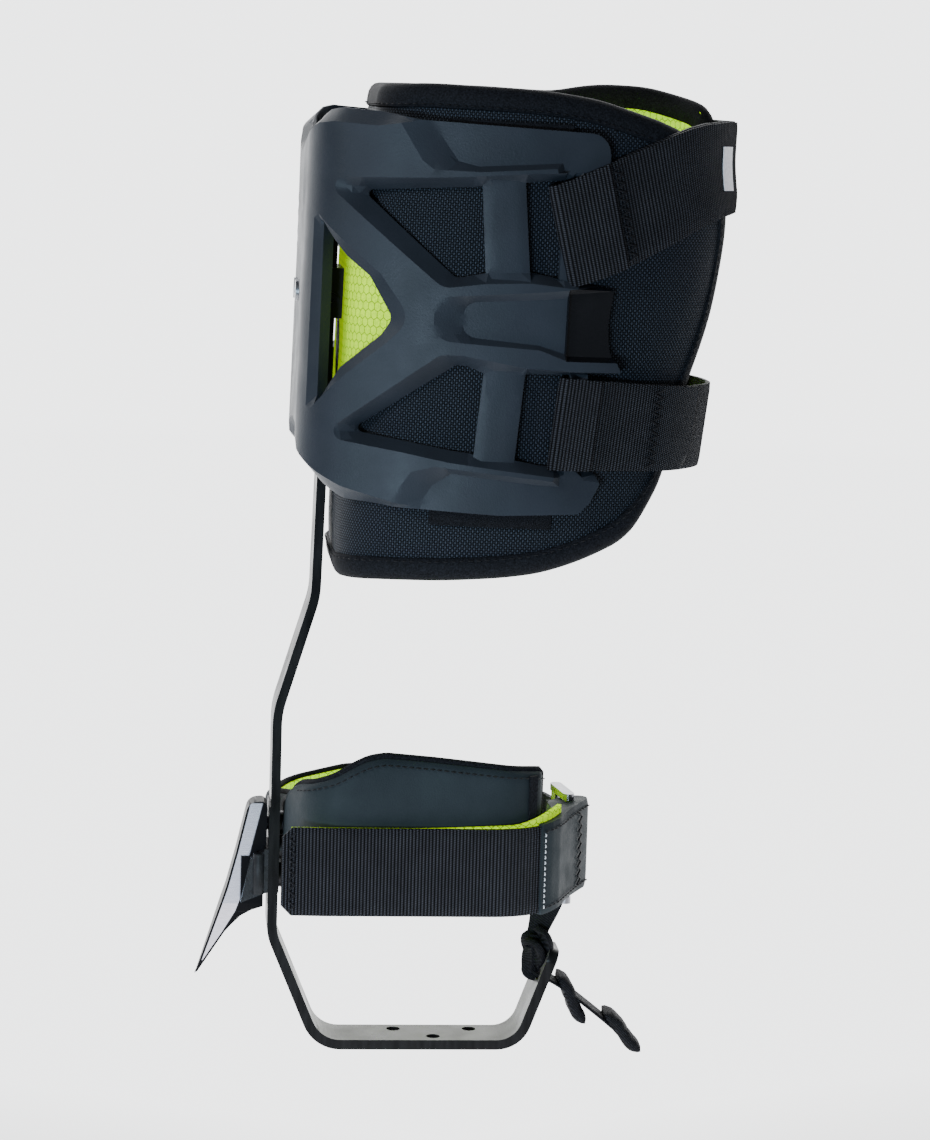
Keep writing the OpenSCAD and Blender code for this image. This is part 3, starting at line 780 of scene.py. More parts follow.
# Shell ----------------------------------------------------------------------------------
def on_wing(points, n=6):
    """Closed outline in run and height, from corners given in x and height."""
    return outline([(SHELL.run(p[0]), *p[1:]) for p in points], n)


def both_ways(half):
    """Closed outline from its near half, which starts and ends on the middle of the medial wall."""
    return np.concatenate([half, half[::-1] * [-1, 1]])


SHELL_IN = 8.0               # offset of the shell's inner face
WALL_IN = 6.0                # the same on the medial wall
WINDOW_DEPTH = 6.8
RIB_DEPTH = 3.2              # offset of the outer face of the struts


def shell_edges(drop):
    """Near half of the shell's outline, drawn in by drop where its edge is bevelled."""
    run = SHELL.run
    wide, thin = 6.0 * drop, 1.5 * drop
    top = [(0.0, 73 - wide), (20, 75.5 - wide), (33, 81.5 - wide), (45, 86 - wide), (55, 87.2 - wide),
           (75, 86.4 - wide), (run(28), 84.4 - thin), (run(31), 83.9 - thin), (run(114) - thin, 81.8 - thin, 9),
           (run(114.3) - thin, 60)]
    bottom = [(run(114.3) - thin, -60), (run(118) - thin, -68), (run(114) - thin, -76),
              (run(109), -81 + thin, 4), (run(74), -82.7 + thin), (run(31), -81.4 + thin),
              (66, -80 + wide), (54, -74.8 + wide), (38, -67 + wide), (32, -62 + wide), (20, -58 + wide),
              (0, -56 + wide)]
    return top, bottom


def shell_outline(drop):
    top, bottom = shell_edges(drop)
    return both_ways(open_path(top + [(SHELL.run(123.4), 55), (SHELL.run(123.4), -55)] + bottom, 5))


WEDGE = on_wing([(-7.7, 38.1), (3.2, 24.6), (13.2, 16.8), (23.7, -0.5, 5), (19.1, -7.9), (2.6, -22.9), (-7, -40)])
WEDGE_TOP = on_wing([(-10.6, 44), (7, 27), (18, 18.2), (32, -0.5, 9), (22, -11), (5, -26), (-10.4, -45)])
GAP_UP = on_wing([(6.6, 53, 2), (36, 55.4), (58.5, 57), (82, 60.4), (112, 63.5), (150, 66), (150, 27), (122.4, 27),
                  (121, 16), (101, 18.6), (82, 22), (63.3, 21), (49.5, 17.8, 5)])
GAP_UP_TOP = on_wing([(-8, 57.5, 4), (36, 59.8), (51, 61), (82, 64), (112, 66), (150, 70), (150, 27), (122.4, 27),
                      (121, 15.4), (101, 16), (82, 17.6), (63, 16.5), (44.5, 13.6, 9)])
GAP_DOWN = on_wing([(6.6, -50, 2), (51.5, -19, 5), (56, -19.3), (64, -22), (101, -21), (123, -20), (150, -20),
                    (150, -63.6), (118, -63), (90, -60.6), (79, -58.6), (51, -56), (30, -53)])
GAP_DOWN_TOP = on_wing([(-4, -53, 4), (45, -14.6, 9), (55, -14.6), (82, -18.6), (101, -19.2), (123, -19.2),
                        (150, -19), (150, -68), (118, -67), (90, -64.4), (51, -60.6), (30, -57.3)])
STRUT_UP = on_wing([(58, 66), (76.5, 68), (82.2, 14), (62.8, 13)])
STRUT_DOWN = on_wing([(64.2, -14), (82.4, -14), (78.6, -68), (60.6, -66)])
UPPER_BAR, LOWER_BAR = (94.3, 102.3), (101.6, 109.6)
BAR_UP = on_wing([(UPPER_BAR[0], 69), (UPPER_BAR[1], 70), (UPPER_BAR[1], 15), (UPPER_BAR[0], 15)])
BAR_DOWN = on_wing([(LOWER_BAR[0], -16), (LOWER_BAR[1], -16), (LOWER_BAR[1], -69), (LOWER_BAR[0], -68)])
GROOVE_UP = on_wing([(21, 95), (22.7, 83), (33, 67), (38, 63.4, 3), (58, 63.4), (94, 66.8), (95.5, 58), (130, 58),
                     (130, 95)])
FLOOR_UP = on_wing([(34, 97), (36, 83), (48, 67.4), (57, 65.6), (93, 68.8), (97.5, 56), (132, 56), (132, 97)])
GROOVE_DOWN = on_wing([(25.5, -95), (27, -78), (35, -65.6), (45, -62.6), (90, -66.2), (96, -66.8), (98, -58),
                       (130, -58), (130, -95)])
FLOOR_DOWN = on_wing([(38, -97), (39.6, -78.6), (44, -71), (52, -65.6), (89, -68.8), (99.5, -69.2), (101, -56),
                      (132, -56), (132, -97)])
RECESS = on_wing([(41.3, 9.7, 8), (87, 14), (99, 15.4), (99, -14.8), (87, -10.6), (41.3, -8.7, 8)])
RECESS_FLOOR = on_wing([(53.5, 8, 6), (87, 10.6), (100, 12), (100, -12.4), (87, -8.8), (53.5, -6.5, 6)])
STEM_END = on_wing([(98.5, 15.6), (140, 20), (140, -15), (98.5, -15)])
STEM_END_FLOOR = on_wing([(99.6, 13.4), (142, 18), (142, -13), (99.6, -13)])
END_CUT = on_wing([(122.4, 30), (122.4, 27), (119.2, 14), (117.6, 1), (118.8, -10), (123.4, -19.5), (123.4, -30),
                   (160, -30), (160, 30)])


def outside_ramp(p, hole, plateau):
    """0 at the edge of a hole and 1 outside the plateau's edge round it."""
    a, b = -signed(p, hole), signed(p, plateau)
    return np.where(b <= 0, 1.0, np.clip(a, 0, None) / np.maximum(np.clip(a, 0, None) + b, 1e-6))


def shell_offset(points):
    """Inward offset of the shell's outer face."""
    p = points * [1, 1]
    p[:, 0] = np.abs(p[:, 0])
    depth = WINDOW_DEPTH * (1 - ease(ramp(p, shell_outline(0), shell_outline(1))))
    depth = depth * (1 - 0.7 * smoothstep(p[:, 0], SHELL.run(16), SHELL.run(30)))
    for hole, plateau, deep in ((WEDGE, WEDGE_TOP, 1.9), (GAP_UP, GAP_UP_TOP, WINDOW_DEPTH),
                                (GAP_DOWN, GAP_DOWN_TOP, WINDOW_DEPTH)):
        depth = np.maximum(depth, deep * (1 - ease(outside_ramp(p, hole, plateau))))
    for edge, floor, deep in ((GROOVE_UP, FLOOR_UP, 3.4), (GROOVE_DOWN, FLOOR_DOWN, 3.4),
                              (RECESS, RECESS_FLOOR, 3.2), (STEM_END, STEM_END_FLOOR, 4.0)):
        depth = np.maximum(depth, deep * ease(ramp(p, edge, floor)))
    in_strut = np.maximum(signed(p, STRUT_UP), signed(p, STRUT_DOWN))
    depth = np.where(in_strut > -0.01, np.minimum(depth, RIB_DEPTH + 0.5 * np.exp(-np.clip(in_strut, 0, 9))), depth)
    in_bar = np.maximum(signed(p, BAR_UP), signed(p, BAR_DOWN)) > -0.01
    in_gap = np.maximum(signed(p, GAP_UP), signed(p, GAP_DOWN)) > 0
    depth = np.where(in_bar & in_gap, 3.0, depth)
    wall = 1 - smoothstep(p[:, 0], 20, 34)
    grip = 0.25 * np.cos(p[:, 1] * 2 * math.pi / 5) * smoothstep(-np.abs(p[:, 1] + 5), -56, -48)
    depth = np.minimum(depth, shell_back(points) - 0.8)
    return depth - wall * (0.3 + 0.022 * p[:, 1] + grip) * 0.6


def shell_back(points):
    s = np.abs(points[:, 0])
    p = np.stack([s, points[:, 1]], 1)
    in_bar = np.maximum(signed(p, BAR_UP), signed(p, BAR_DOWN)) > -0.01
    in_gap = np.maximum(signed(p, GAP_UP), signed(p, GAP_DOWN)) > 0
    back = WALL_IN + (SHELL_IN - WALL_IN) * smoothstep(s, 30, 50)
    return np.where(in_bar & in_gap, 5.6, back)


def shell_region(points):
    """Positive where the shell has material."""
    p = np.stack([np.abs(points[:, 0]), points[:, 1]], 1)
    solid = np.minimum(signed(p, shell_outline(0)), -signed(p, WEDGE))
    solid = np.minimum(solid, -signed(p, END_CUT))
    for gap, strut, bar in ((GAP_UP, STRUT_UP, BAR_UP), (GAP_DOWN, STRUT_DOWN, BAR_DOWN)):
        solid = np.minimum(solid, np.maximum(-signed(p, gap), np.maximum(signed(p, strut), signed(p, bar))))
    return solid


def shell_lines():
    near = [WEDGE, WEDGE_TOP, GAP_UP, GAP_UP_TOP, GAP_DOWN, GAP_DOWN_TOP, STRUT_UP, STRUT_DOWN, BAR_UP, BAR_DOWN,
            GROOVE_UP, FLOOR_UP, GROOVE_DOWN, FLOOR_DOWN, RECESS, RECESS_FLOOR, STEM_END, STEM_END_FLOOR, END_CUT]
    return [shell_outline(0), shell_outline(1)] + near + [line[::-1] * [-1, 1] for line in near]


def even_line(line, step=4.0):
    """A closed outline with no long sides."""
    out = []
    for a, b in zip(line, np.roll(line, -1, axis=0)):
        n = max(1, int(np.linalg.norm(b - a) / step))
        out += [a + (b - a) * i / n for i in range(n)]
    return np.array(out)


def shell():
    def face_slot(mid):
        p = np.stack([np.abs(mid[:, 0]), mid[:, 1]], 1)
        return np.where(signed(p, STEM_END) > 0, 1, 0)

    lines = [even_line(line) for line in shell_lines()]
    obj = relief("cuff shell", shell_region, lines, 3.0,
                 lambda p: on_cuff(SHELL, p[:, 0], shell_offset(p), p[:, 1]),
                 lambda p: on_cuff(SHELL, p[:, 0], shell_back(p), p[:, 1]), face_slot)
    obj.data.materials.append(MATERIAL["shell_plastic"])
    obj.data.materials.append(GLOSS)
    place(obj, "cuff", "shell_plastic", "cuff_shell")


# Padding --------------------------------------------------------------------------------
def puff(obj, held, limit, frames=20):
    """Cloth simulation: air pressure swells a closed mesh whose rim is held; moves are capped in mm."""
    group = obj.vertex_groups.new(name="rim")
    group.add([int(i) for i in held], 1.0, "ADD")
    cloth = obj.modifiers.new("cloth", "CLOTH")
    cloth.settings.quality = 4
    cloth.settings.mass = 0.2
    cloth.settings.tension_stiffness = 12
    cloth.settings.compression_stiffness = 12
    cloth.settings.bending_stiffness = 3
    cloth.settings.use_pressure = True
    cloth.settings.uniform_pressure_force = 4
    cloth.settings.effector_weights.gravity = 0
    cloth.settings.vertex_group_mass = "rim"
    cloth.collision_settings.use_self_collision = False
    for i in range(1, frames + 1):
        scene.frame_set(i)
    seen = obj.evaluated_get(bpy.context.evaluated_depsgraph_get()).data
    count = len(obj.data.vertices)
    before, after = np.zeros(count * 3, np.float32), np.zeros(count * 3, np.float32)
    obj.data.vertices.foreach_get("co", before)
    seen.vertices.foreach_get("co", after)
    obj.modifiers.remove(cloth)
    obj.vertex_groups.clear()
    scene.frame_set(1)
    move = (after - before).reshape(-1, 3)
    size = np.linalg.norm(move, axis=1, keepdims=True)
    cap = limit * MM
    move *= cap * np.tanh(size / cap) / np.maximum(size, 1e-9)
    obj.data.vertices.foreach_set("co", (before.reshape(-1, 3) + move).ravel())
    obj.data.update()


def rim_indices(n, m, depth=1):
    i, j = np.meshgrid(np.arange(n), np.arange(m), indexing="ij")
    at = (i < depth) | (i >= n - depth) | (j < depth) | (j >= m - depth)
    first = np.flatnonzero(at.ravel())
    return np.concatenate([first, first + n * m])


def subdivide(obj, levels=1):
    mod = obj.modifiers.new("smooth", "SUBSURF")
    mod.levels = mod.render_levels = levels


PAD_OUT = 9.4                # offset of the pad's outer face
PAD_IN = 15.6                # offset of the pad's inner face
LINING_IN = 17.4             # offset of the lining's inner face
FLAP_END = 242.0             # run of the near flap's free edge
FAR_END = -252.0             # run of the far flap's free edge

PAD_TOP = [(-252, 84), (-247, 92), (-240, 94.5), (-221, 97.4), (-201, 100.6), (-181, 100.9), (-169, 99.4),
           (-156, 96.4), (-121, 97), (-52, 95.8), (0, 95.5), (52, 95.8), (81, 97), (121, 97), (141, 96.4),
           (163, 94.1), (182, 89.5), (196.6, 85.1), (213, 80.1), (226, 71), (236, 60), (242, 42)]
PAD_BOTTOM = [(-252, -30), (-246, -48), (-230, -66), (-213.6, -78), (-199.6, -86), (-185, -94), (-166, -101),
              (-148, -106.4), (-129, -109), (-102, -111.3), (-70, -112.7), (-12, -115), (12, -115), (52.6, -113.4),
              (69.6, -112.7), (102.4, -111.3), (129.4, -109), (147.9, -106.4), (166.4, -100.8), (185, -92.7),
              (199.6, -80.4), (213.6, -66.5), (222.6, -44.7), (228.6, -22.9), (237, 3.3), (242, 24)]


def pad_edges(s):
    top, bottom = np.array(PAD_TOP, float), np.array(PAD_BOTTOM, float)
    return np.interp(s, top[:, 0], top[:, 1]), np.interp(s, bottom[:, 0], bottom[:, 1])


def pad_grid(columns, rows, inset=0.0):
    """Runs and heights of a grid that fills the pad's outline."""
    t = np.linspace(0, math.pi, columns)
    even = np.linspace(0, 1, columns)
    share = 0.75 * even + 0.25 * (1 - np.cos(t)) / 2
    s = FAR_END + inset + (FLAP_END - FAR_END - 2 * inset) * share
    top, bottom = pad_edges(s)
    v = np.linspace(0, 1, rows)
    z = bottom[:, None] + inset + (top - bottom - 2 * inset)[:, None] * v[None]
    return np.repeat(s[:, None], rows, 1), z


def quilt(s, z):
    """Soft unevenness of the padding, mm."""
    return np.array([[noise.noise(Vector((a / 38, b / 38, 1.7))) for a, b in zip(r, q)] for r, q in zip(s, z)])


def calf_pad():
    columns, rows = 110, 46
    s, z = pad_grid(columns, rows)
    low, high = np.minimum(np.arange(rows), np.arange(rows)[::-1]), np.minimum(np.arange(columns),
                                                                             np.arange(columns)[::-1])
    edge = np.minimum(low[None, :], high[:, None])
    thin = 1.6 * np.exp(-edge / 1.1)
    wave = 0.5 * quilt(s, z)
    outer = on_pad(s, PAD_OUT + thin - wave, z)
    inner = on_pad(s, PAD_IN - thin * 0.5, z)
    obj = slab("calf pad", outer, inner, np.stack([s, z], -1), 60)
    puff(obj, rim_indices(columns, rows, 2), 1.2)
    subdivide(obj)
    place(obj, "cuff", "pad_fabric", "calf_pad")
    lining = slab("calf pad lining", on_pad(s, PAD_IN + 0.2, z), on_pad(s, LINING_IN - thin * 0.6, z),
                  np.stack([s, z], -1), 60)
    place(lining, "cuff", "mesh_green", "calf_pad_lining")


def pad_boundary():
    """Closed line of runs and heights just inside the pad's edge, with its outward directions."""
    s = np.linspace(FAR_END, FLAP_END, 160)
    top, bottom = pad_edges(s)
    line = np.concatenate([np.stack([s, bottom], 1), np.stack([s, top], 1)[::-1]])
    line = resample(np.concatenate([line, line[:1]]), 4.0)[:-1]
    for _ in range(3):
        line = (np.roll(line, 1, axis=0) + 2 * line + np.roll(line, -1, axis=0)) / 4
    along = unit(np.roll(line, -1, axis=0) - np.roll(line, 1, axis=0))
    return line, np.stack([along[:, 1], -along[:, 0]], 1)


BIND_W = 8.0                 # width of the binding tape on each face


def bind_profile(low, high, width):
    """Rounded section of a binding: across the edge and through the thickness."""
    r = (high - low) / 2
    across = [-width, -width + 0.7, -width / 2, -r * 0.75]
    upper = [(a, high - (0.8 if i == 0 else 0.0)) for i, a in enumerate(across)]
    nose = [(-r * 0.75 + 1.25 * r * math.cos(t), (low + high) / 2 + r * math.sin(t))
            for t in np.linspace(math.pi / 2 - 0.35, 0.35 - math.pi / 2, 7)]
    lower = [(a, low + (0.8 if i == 0 else 0.0)) for i, a in enumerate(across)]
    return np.array(upper + nose + lower[::-1])


def calf_binding():
    line, out = pad_boundary()
    profile = bind_profile(PAD_OUT - 0.7, LINING_IN + 0.7, BIND_W)
    s = line[:, :1] + out[:, :1] * profile[None, :, 0]
    z = line[:, 1:] + out[:, 1:] * profile[None, :, 0]
    wobble = np.array([noise.noise(Vector((a / 16, b / 16, 5.1))) for a, b in line])[:, None] * 0.35
    off = profile[None, :, 1] - wobble * np.sign(profile[None, :, 1] - (PAD_OUT + LINING_IN) / 2) * -1
    rings = on_pad(s, off, z)
    place(sweep("calf pad binding", rings, None, 50, closed=True), "cuff", "pad_fabric", material=BINDING)
    inset = line - out * (BIND_W - 1.5)
    path = on_pad(inset[:, 0], PAD_OUT - 1.0, inset[:, 1])
    closed = np.concatenate([path, path[:1]])
    normals = outward(PAD, np.append(inset[:, 0], inset[0, 0]))
    place(stitches("calf pad seam", closed, normals, 2.2, 1.4, 0.3), "cuff", "pad_fabric", material=THREAD)


# Height and x of the panel's end, which stays hidden under the shell round the wedge window
PANEL_END = [(-46, 4), (-23, 10), (-8, 26), (0, 31), (8, 28), (17, 21), (25, 10), (38, 5), (46, 2)]


def window_mesh():
    """Green mesh panel of the pad, seen through the wedge windows and behind the medial wall."""
    z = np.linspace(-46, 46, 47)
    end = np.interp(z, [q[0] for q in PANEL_END], [PAD.run(q[1]) for q in PANEL_END])
    s = np.linspace(-1, 1, 61)[:, None] * end[None]
    z = np.repeat(z[None], 61, 0)
    obj = slab("calf pad mesh panel", on_pad(s, PAD_OUT - 1.25, z), on_pad(s, PAD_OUT - 0.2, z),
               np.stack([s, z], -1), 60)
    place(obj, "cuff", "mesh_green")


def hook_patches():
    verts = []
    for side in (1, -1):
        for low, high in ((-88.5, -70), (70, 85)):
            s, z = np.meshgrid(np.linspace(SHELL.run(43), SHELL.run(98), 24) * side, np.linspace(low, high, 8),
                               indexing="ij")
            verts.append((s, z))
    for k, (s, z) in enumerate(verts):
        fringe = 0.25 * quilt(s * 9, z * 9)
        obj = slab("hook patch %d" % (k + 1), on_cuff(SHELL, s, 7.4 + fringe, z), on_cuff(SHELL, s, 8.6, z),
                   np.stack([s, z], -1), 60)
        place(obj, "cuff", "hook_tape", *(["pad_hook_patches"] if k == 0 else []))


# Calf straps ----------------------------------------------------------------------------
STRAP_OFF = (5.9, 8.2)       # faces of the free strap
LOOP_END = 115.0             # where the sewn loops join the long strap
UPPER_TOP = [(140, 55), (154.4, 59.5), (160.9, 62.1), (171.9, 67), (190.2, 75), (208.7, 83), (219.2, 86.4),
             (230.7, 88.6), (250, 90), (283, 90)]
UPPER_BOTTOM = [(140, 14), (154.4, 17), (164.9, 20.5), (174.9, 24.6), (192.7, 32.8), (212.2, 41.5), (223.7, 45.2),
                (237.7, 48.2), (253.7, 50), (283, 51)]
LOWER_TOP = [(140, -21.5), (160, -22.3), (236, -25.4), (283, -26)]
LOWER_BOTTOM = [(140, -61.5), (160, -62), (236, -62.4), (283, -63)]


def strap_edges(s, top, bottom):
    t = np.where(s > SHELL.half, 2 * SHELL.half - s, s)
    top, bottom = np.array(top, float), np.array(bottom, float)
    hi = np.interp(t, top[:, 0], top[:, 1])
    lo = np.interp(t, bottom[:, 0], bottom[:, 1])
    return lo, hi


def band(name, runs, offs, edges, thick, skew=0.0, rows=13):
    """A webbing strip: runs and offsets of its middle line along the shell's plan.

    With a skew its lower edge runs ahead of its upper edge, so that its ribs cross a sloping strap squarely.
    """
    runs, offs = np.asarray(runs, float), np.asarray(offs, float)
    lo, hi = edges(runs)
    v = np.linspace(0, 1, rows)
    z = lo[:, None] + (hi - lo)[:, None] * v[None]
    d = np.gradient(np.stack([runs, offs], 1), axis=0)
    d = unit(d)
    half = thick / 2 * np.where((v < 0.01) | (v > 0.99), 0.72, 1.0)
    around = SHELL.half - runs
    lead = skew * np.sign(around) * smoothstep(np.abs(around), 10, 90)
    shift = lead[:, None] * (hi[:, None] - z - 8)
    s_out = runs[:, None] + d[:, 1:] * half[None] + shift
    s_in = runs[:, None] - d[:, 1:] * half[None] + shift
    o_out = offs[:, None] - d[:, :1] * half[None]
    o_in = offs[:, None] + d[:, :1] * half[None]
    u = lengths(np.stack([runs, offs], 1))
    uv = np.stack([np.repeat(u[:, None], rows, 1), z], -1)
    rib = 0.32 * np.abs(np.sin(u * math.pi / RIB))[:, None]
    outer = on_cuff(SHELL, s_out, o_out - rib, z)
    return slab(name, outer, on_cuff(SHELL, s_in, o_in, z), uv, 70)


def loop_path(bar, far):
    """Middle line of the sewn loop: out from the strap, round the moulded bar and back below it."""
    front, back = 1.6, 7.0
    nose_x, nose_r = bar[0] - 1.4, 2.7
    nose = [(SHELL.run(nose_x) - nose_r * math.sin(a), (front + back) / 2 - nose_r * math.cos(a))
            for a in np.linspace(0, math.pi, 13)]
    out = [(SHELL.run(x), front) for x in np.linspace(LOOP_END, nose_x + 0.8, 19)]
    home = [(SHELL.run(x), back) for x in np.linspace(nose_x + 0.8, nose_x + 5.4, 6)]
    path = resample(np.array(out + nose + home), RIB / 4)
    if far:
        path[:, 0] = 2 * SHELL.half - path[:, 0]
    return path


def strap_run(far=False):
    """Middle line of the long strap: it drops from the sewn loop to the pad and runs round the leg."""
    start = SHELL.run(LOOP_END - 3)
    near = [(start, 3.9), (start + 5, 4.2), (start + 11, 5.4), (start + 18, 6.7), (start + 26, 7.05)]
    end = 2 * SHELL.half
    path = near + [(end - r, o) for r, o in near[::-1]]
    return resample(smooth_path(resample(np.array(path), 2.0), 2), RIB / 3)


def calf_strap(name, node, bar, top, bottom, skew, free_end, tack_run):
    """Long strap, its two sewn loops, its bar tacks and the free layer closed on it."""
    edges = lambda s: strap_edges(s, top, bottom)
    place(band(name, *strap_run().T, edges, STRAP_OFF[1] - STRAP_OFF[0], skew), "cuff", "webbing_black", node)
    for far in (False, True):
        path = loop_path(bar, far)
        side = "far" if far else "near"
        piece = band("%s %s loop" % (name, side), path[:, 0], path[:, 1], edges, 2.0, skew)
        place(piece, "cuff", "webbing_black")
    start = SHELL.run(LOOP_END) - 3
    runs = np.arange(start, free_end, RIB / 3)

    def free_edges(s):
        lo, hi = edges(s)
        return lo + np.clip(s - (free_end - 6), 0, None) + 0.3, hi - 0.3

    offs = 5.0 - 2.2 * (1 - smoothstep(runs, start, start + 14))
    place(band(name + " free layer", runs, offs, free_edges, 1.9, skew), "cuff", "webbing_black")
    lo, hi = edges(np.array([tack_run]))
    lean = skew * smoothstep(SHELL.half - tack_run, 10, 90)
    tack_z = np.array([lo[0] + 2, hi[0] - 2])
    tack_s = tack_run + lean * (hi[0] - tack_z - 8)
    off = float(np.interp(tack_run, runs, offs)) - 1.25
    p = on_cuff(SHELL, tack_s, off, tack_z)
    place(zigzag(name + " bar tack", p[0], p[1], outward(SHELL, np.array([tack_run]))[0], 4.5, 1.9, 0.42), "cuff",
          "webbing_black", material=THREAD)


def straps():
    calf_strap("upper strap", "upper_strap", UPPER_BAR, UPPER_TOP, UPPER_BOTTOM, 0.27, 262.0, SHELL.run(118))
    calf_strap("lower strap", "lower_strap", LOWER_BAR, LOWER_TOP, LOWER_BOTTOM, -0.09, 241.0, SHELL.run(145))
    s, z = np.meshgrid(np.linspace(243, 254, 5), np.linspace(60, 79, 7), indexing="ij")
    label = slab("size label", on_cuff(SHELL, s, 3.5, z), on_cuff(SHELL, s, 4.2, z), np.stack([s, z], -1), 60)
    place(label, "cuff", "webbing_black", material=LABEL)


shell()
calf_pad()
calf_binding()
window_mesh()
hook_patches()
straps()


# Ankle ----------------------------------------------------------------------------------
ANKLE_LINE = resample(open_path([(49, -36), (34, -45.5, 20), (-50, -46.5, 18), (-59.4, -20, 20), (-59.4, 12, 12),
                                 (-68.6, 27, 7), (-60, 43, 12), (-20, 47, 60), (35, 44, 25), (54, 26)], 10), 3.0)
NEAR_TOP = [(-75, 119), (-60, 121.5), (-52, 125), (-42, 129.5), (-35, 134), (-28, 137.4), (-21, 138.6),
            (0, 136.8), (30, 133.5), (50, 131)]
FAR_TOP = [(-72, 106), (-50, 111), (-34, 114.5), (0, 116), (54, 114)]
NEAR_BOTTOM = [(-75, 70), (46, 70)]
FAR_BOTTOM = 66.0


def ankle_edges():
    """Lower and upper edge along the ankle pad's line."""
    x, y = ANKLE_LINE.T
    top, bottom = np.array(NEAR_TOP, float), np.array(NEAR_BOTTOM, float)
    far = np.array(FAR_TOP, float)
    near = 1 - smoothstep(y, -34, 8)
    hi = near * np.interp(x, top[:, 0], top[:, 1]) + (1 - near) * np.interp(x, far[:, 0], far[:, 1])
    lo = near * np.interp(x, bottom[:, 0], bottom[:, 1]) + (1 - near) * FAR_BOTTOM
    return lo, hi


def on_line(line, off, z):
    """World points in metres: offsets to the left of a plan line, at heights."""
    n = left_normals(line)
    off = np.broadcast_to(off, z.shape)
    return np.concatenate([line[:, None] + off[..., None] * n[:, None], z[..., None]], -1) * MM


def ankle_grid(rows, inset=0.0):
    lo, hi = ankle_edges()
    v = np.linspace(0, 1, rows)
    return lo[:, None] + inset + (hi - lo - 2 * inset)[:, None] * v[None]


def edge_falloff(n, m, reach):
    i = np.minimum(np.arange(n), np.arange(n)[::-1])[:, None]
    j = np.minimum(np.arange(m), np.arange(m)[::-1])[None]
    return np.exp(-np.minimum(i, j) / reach)


def ankle_pad():
    rows = 26
    z = ankle_grid(rows)
    n = len(ANKLE_LINE)
    s = lengths(ANKLE_LINE)
    uv = np.stack([np.repeat(s[:, None], rows, 1), z], -1)
    thin = edge_falloff(n, rows, 1.0)
    soft = 0.4 * quilt(uv[..., 0], z) * (1 - thin)
    outer = on_line(ANKLE_LINE, SKIN_OUT - 1.7 * thin + soft, z)
    inner = on_line(ANKLE_LINE, SKIN_IN + 0.6 * thin, z)
    obj = slab("ankle pad", outer, inner, uv, 60)
    puff(obj, rim_indices(n, rows, 2), 0.8)
    subdivide(obj)
    place(obj, "irons", "leather_grey", "ankle_pad")
    lining = slab("ankle pad lining", on_line(ANKLE_LINE, LINE_OUT, z), on_line(ANKLE_LINE, LINE_IN, z), uv, 60)
    place(lining, "irons", "mesh_green", "ankle_pad_lining")


# Offsets to the left of the pad's line: the line runs from the near end, so its outside is to the left
SKIN_OUT, SKIN_IN = 4.0, -2.5
LINE_OUT, LINE_IN = -2.6, -4.0


def ankle_rim():
    """Black cord round the pad's edge and a stitched line inside it."""
    lo, hi = ankle_edges()
    x = np.concatenate([ANKLE_LINE, ANKLE_LINE[::-1]])
    z = np.concatenate([lo, hi[::-1]])
    n = left_normals(ANKLE_LINE)
    n = np.concatenate([n, n[::-1]])
    mid = (SKIN_OUT - 1.7 + LINE_IN) / 2
    line = np.concatenate([x + n * mid, z[:, None]], 1)
    line = resample(np.concatenate([line, line[:1]]), 2.5)[:-1] * MM
    along = unit(np.roll(line, -1, axis=0) - np.roll(line, 1, axis=0))
    up = unit(np.cross(along, unit(line - line.mean(0))))
    side = np.cross(up, along)
    a = np.arange(8) * math.pi / 4
    rings = line[:, None] + 1.9 * MM * (np.cos(a)[None, :, None] * up[:, None] + np.sin(a)[None, :, None] * side[:, None])
    place(sweep("ankle pad rim", rings, None, 60, closed=True), "irons", "leather_grey", material=BINDING)
    near = ANKLE_LINE[:, 1] < -30
    base, normal = ANKLE_LINE[near], left_normals(ANKLE_LINE)[near]
    height = hi[near] - 3.0
    p = np.concatenate([base + normal * (SKIN_OUT + 0.3), height[:, None]], 1) * MM
    out = np.concatenate([normal, np.zeros((len(base), 1))], 1)
    place(stitches("ankle pad stitching", p, out, 2.2, 0.9, 0.28), "irons", "leather_grey", material=THREAD)
    place(end_band(), "irons", "leather_grey", material=BINDING)


def end_band():
    """Black tape sewn upright across the near end of the ankle pad."""
    reach = lengths(ANKLE_LINE)
    t = np.linspace(5.5, 9.5, 5)
    line = np.stack([np.interp(t, reach, ANKLE_LINE[:, k]) for k in (0, 1)], 1)
    z = np.linspace(72, 130, 24)[None] + 0 * t[:, None]
    uv = np.stack([np.repeat(t[:, None], 24, 1), z], -1)
    return slab("ankle pad end band", on_line(line, SKIN_OUT + 1.0, z), on_line(line, SKIN_OUT - 0.6, z), uv, 60)


STRAP_LINE = resample(open_path([(-66, -52.2), (-48, -53.4, 40), (46, -53.4, 32), (60.5, -28)], 10), 0.5)
ANKLE_Z = (68.0, 109.0)


def strap_rise(x):
    return 3.5 * smoothstep(x, 46, 74)


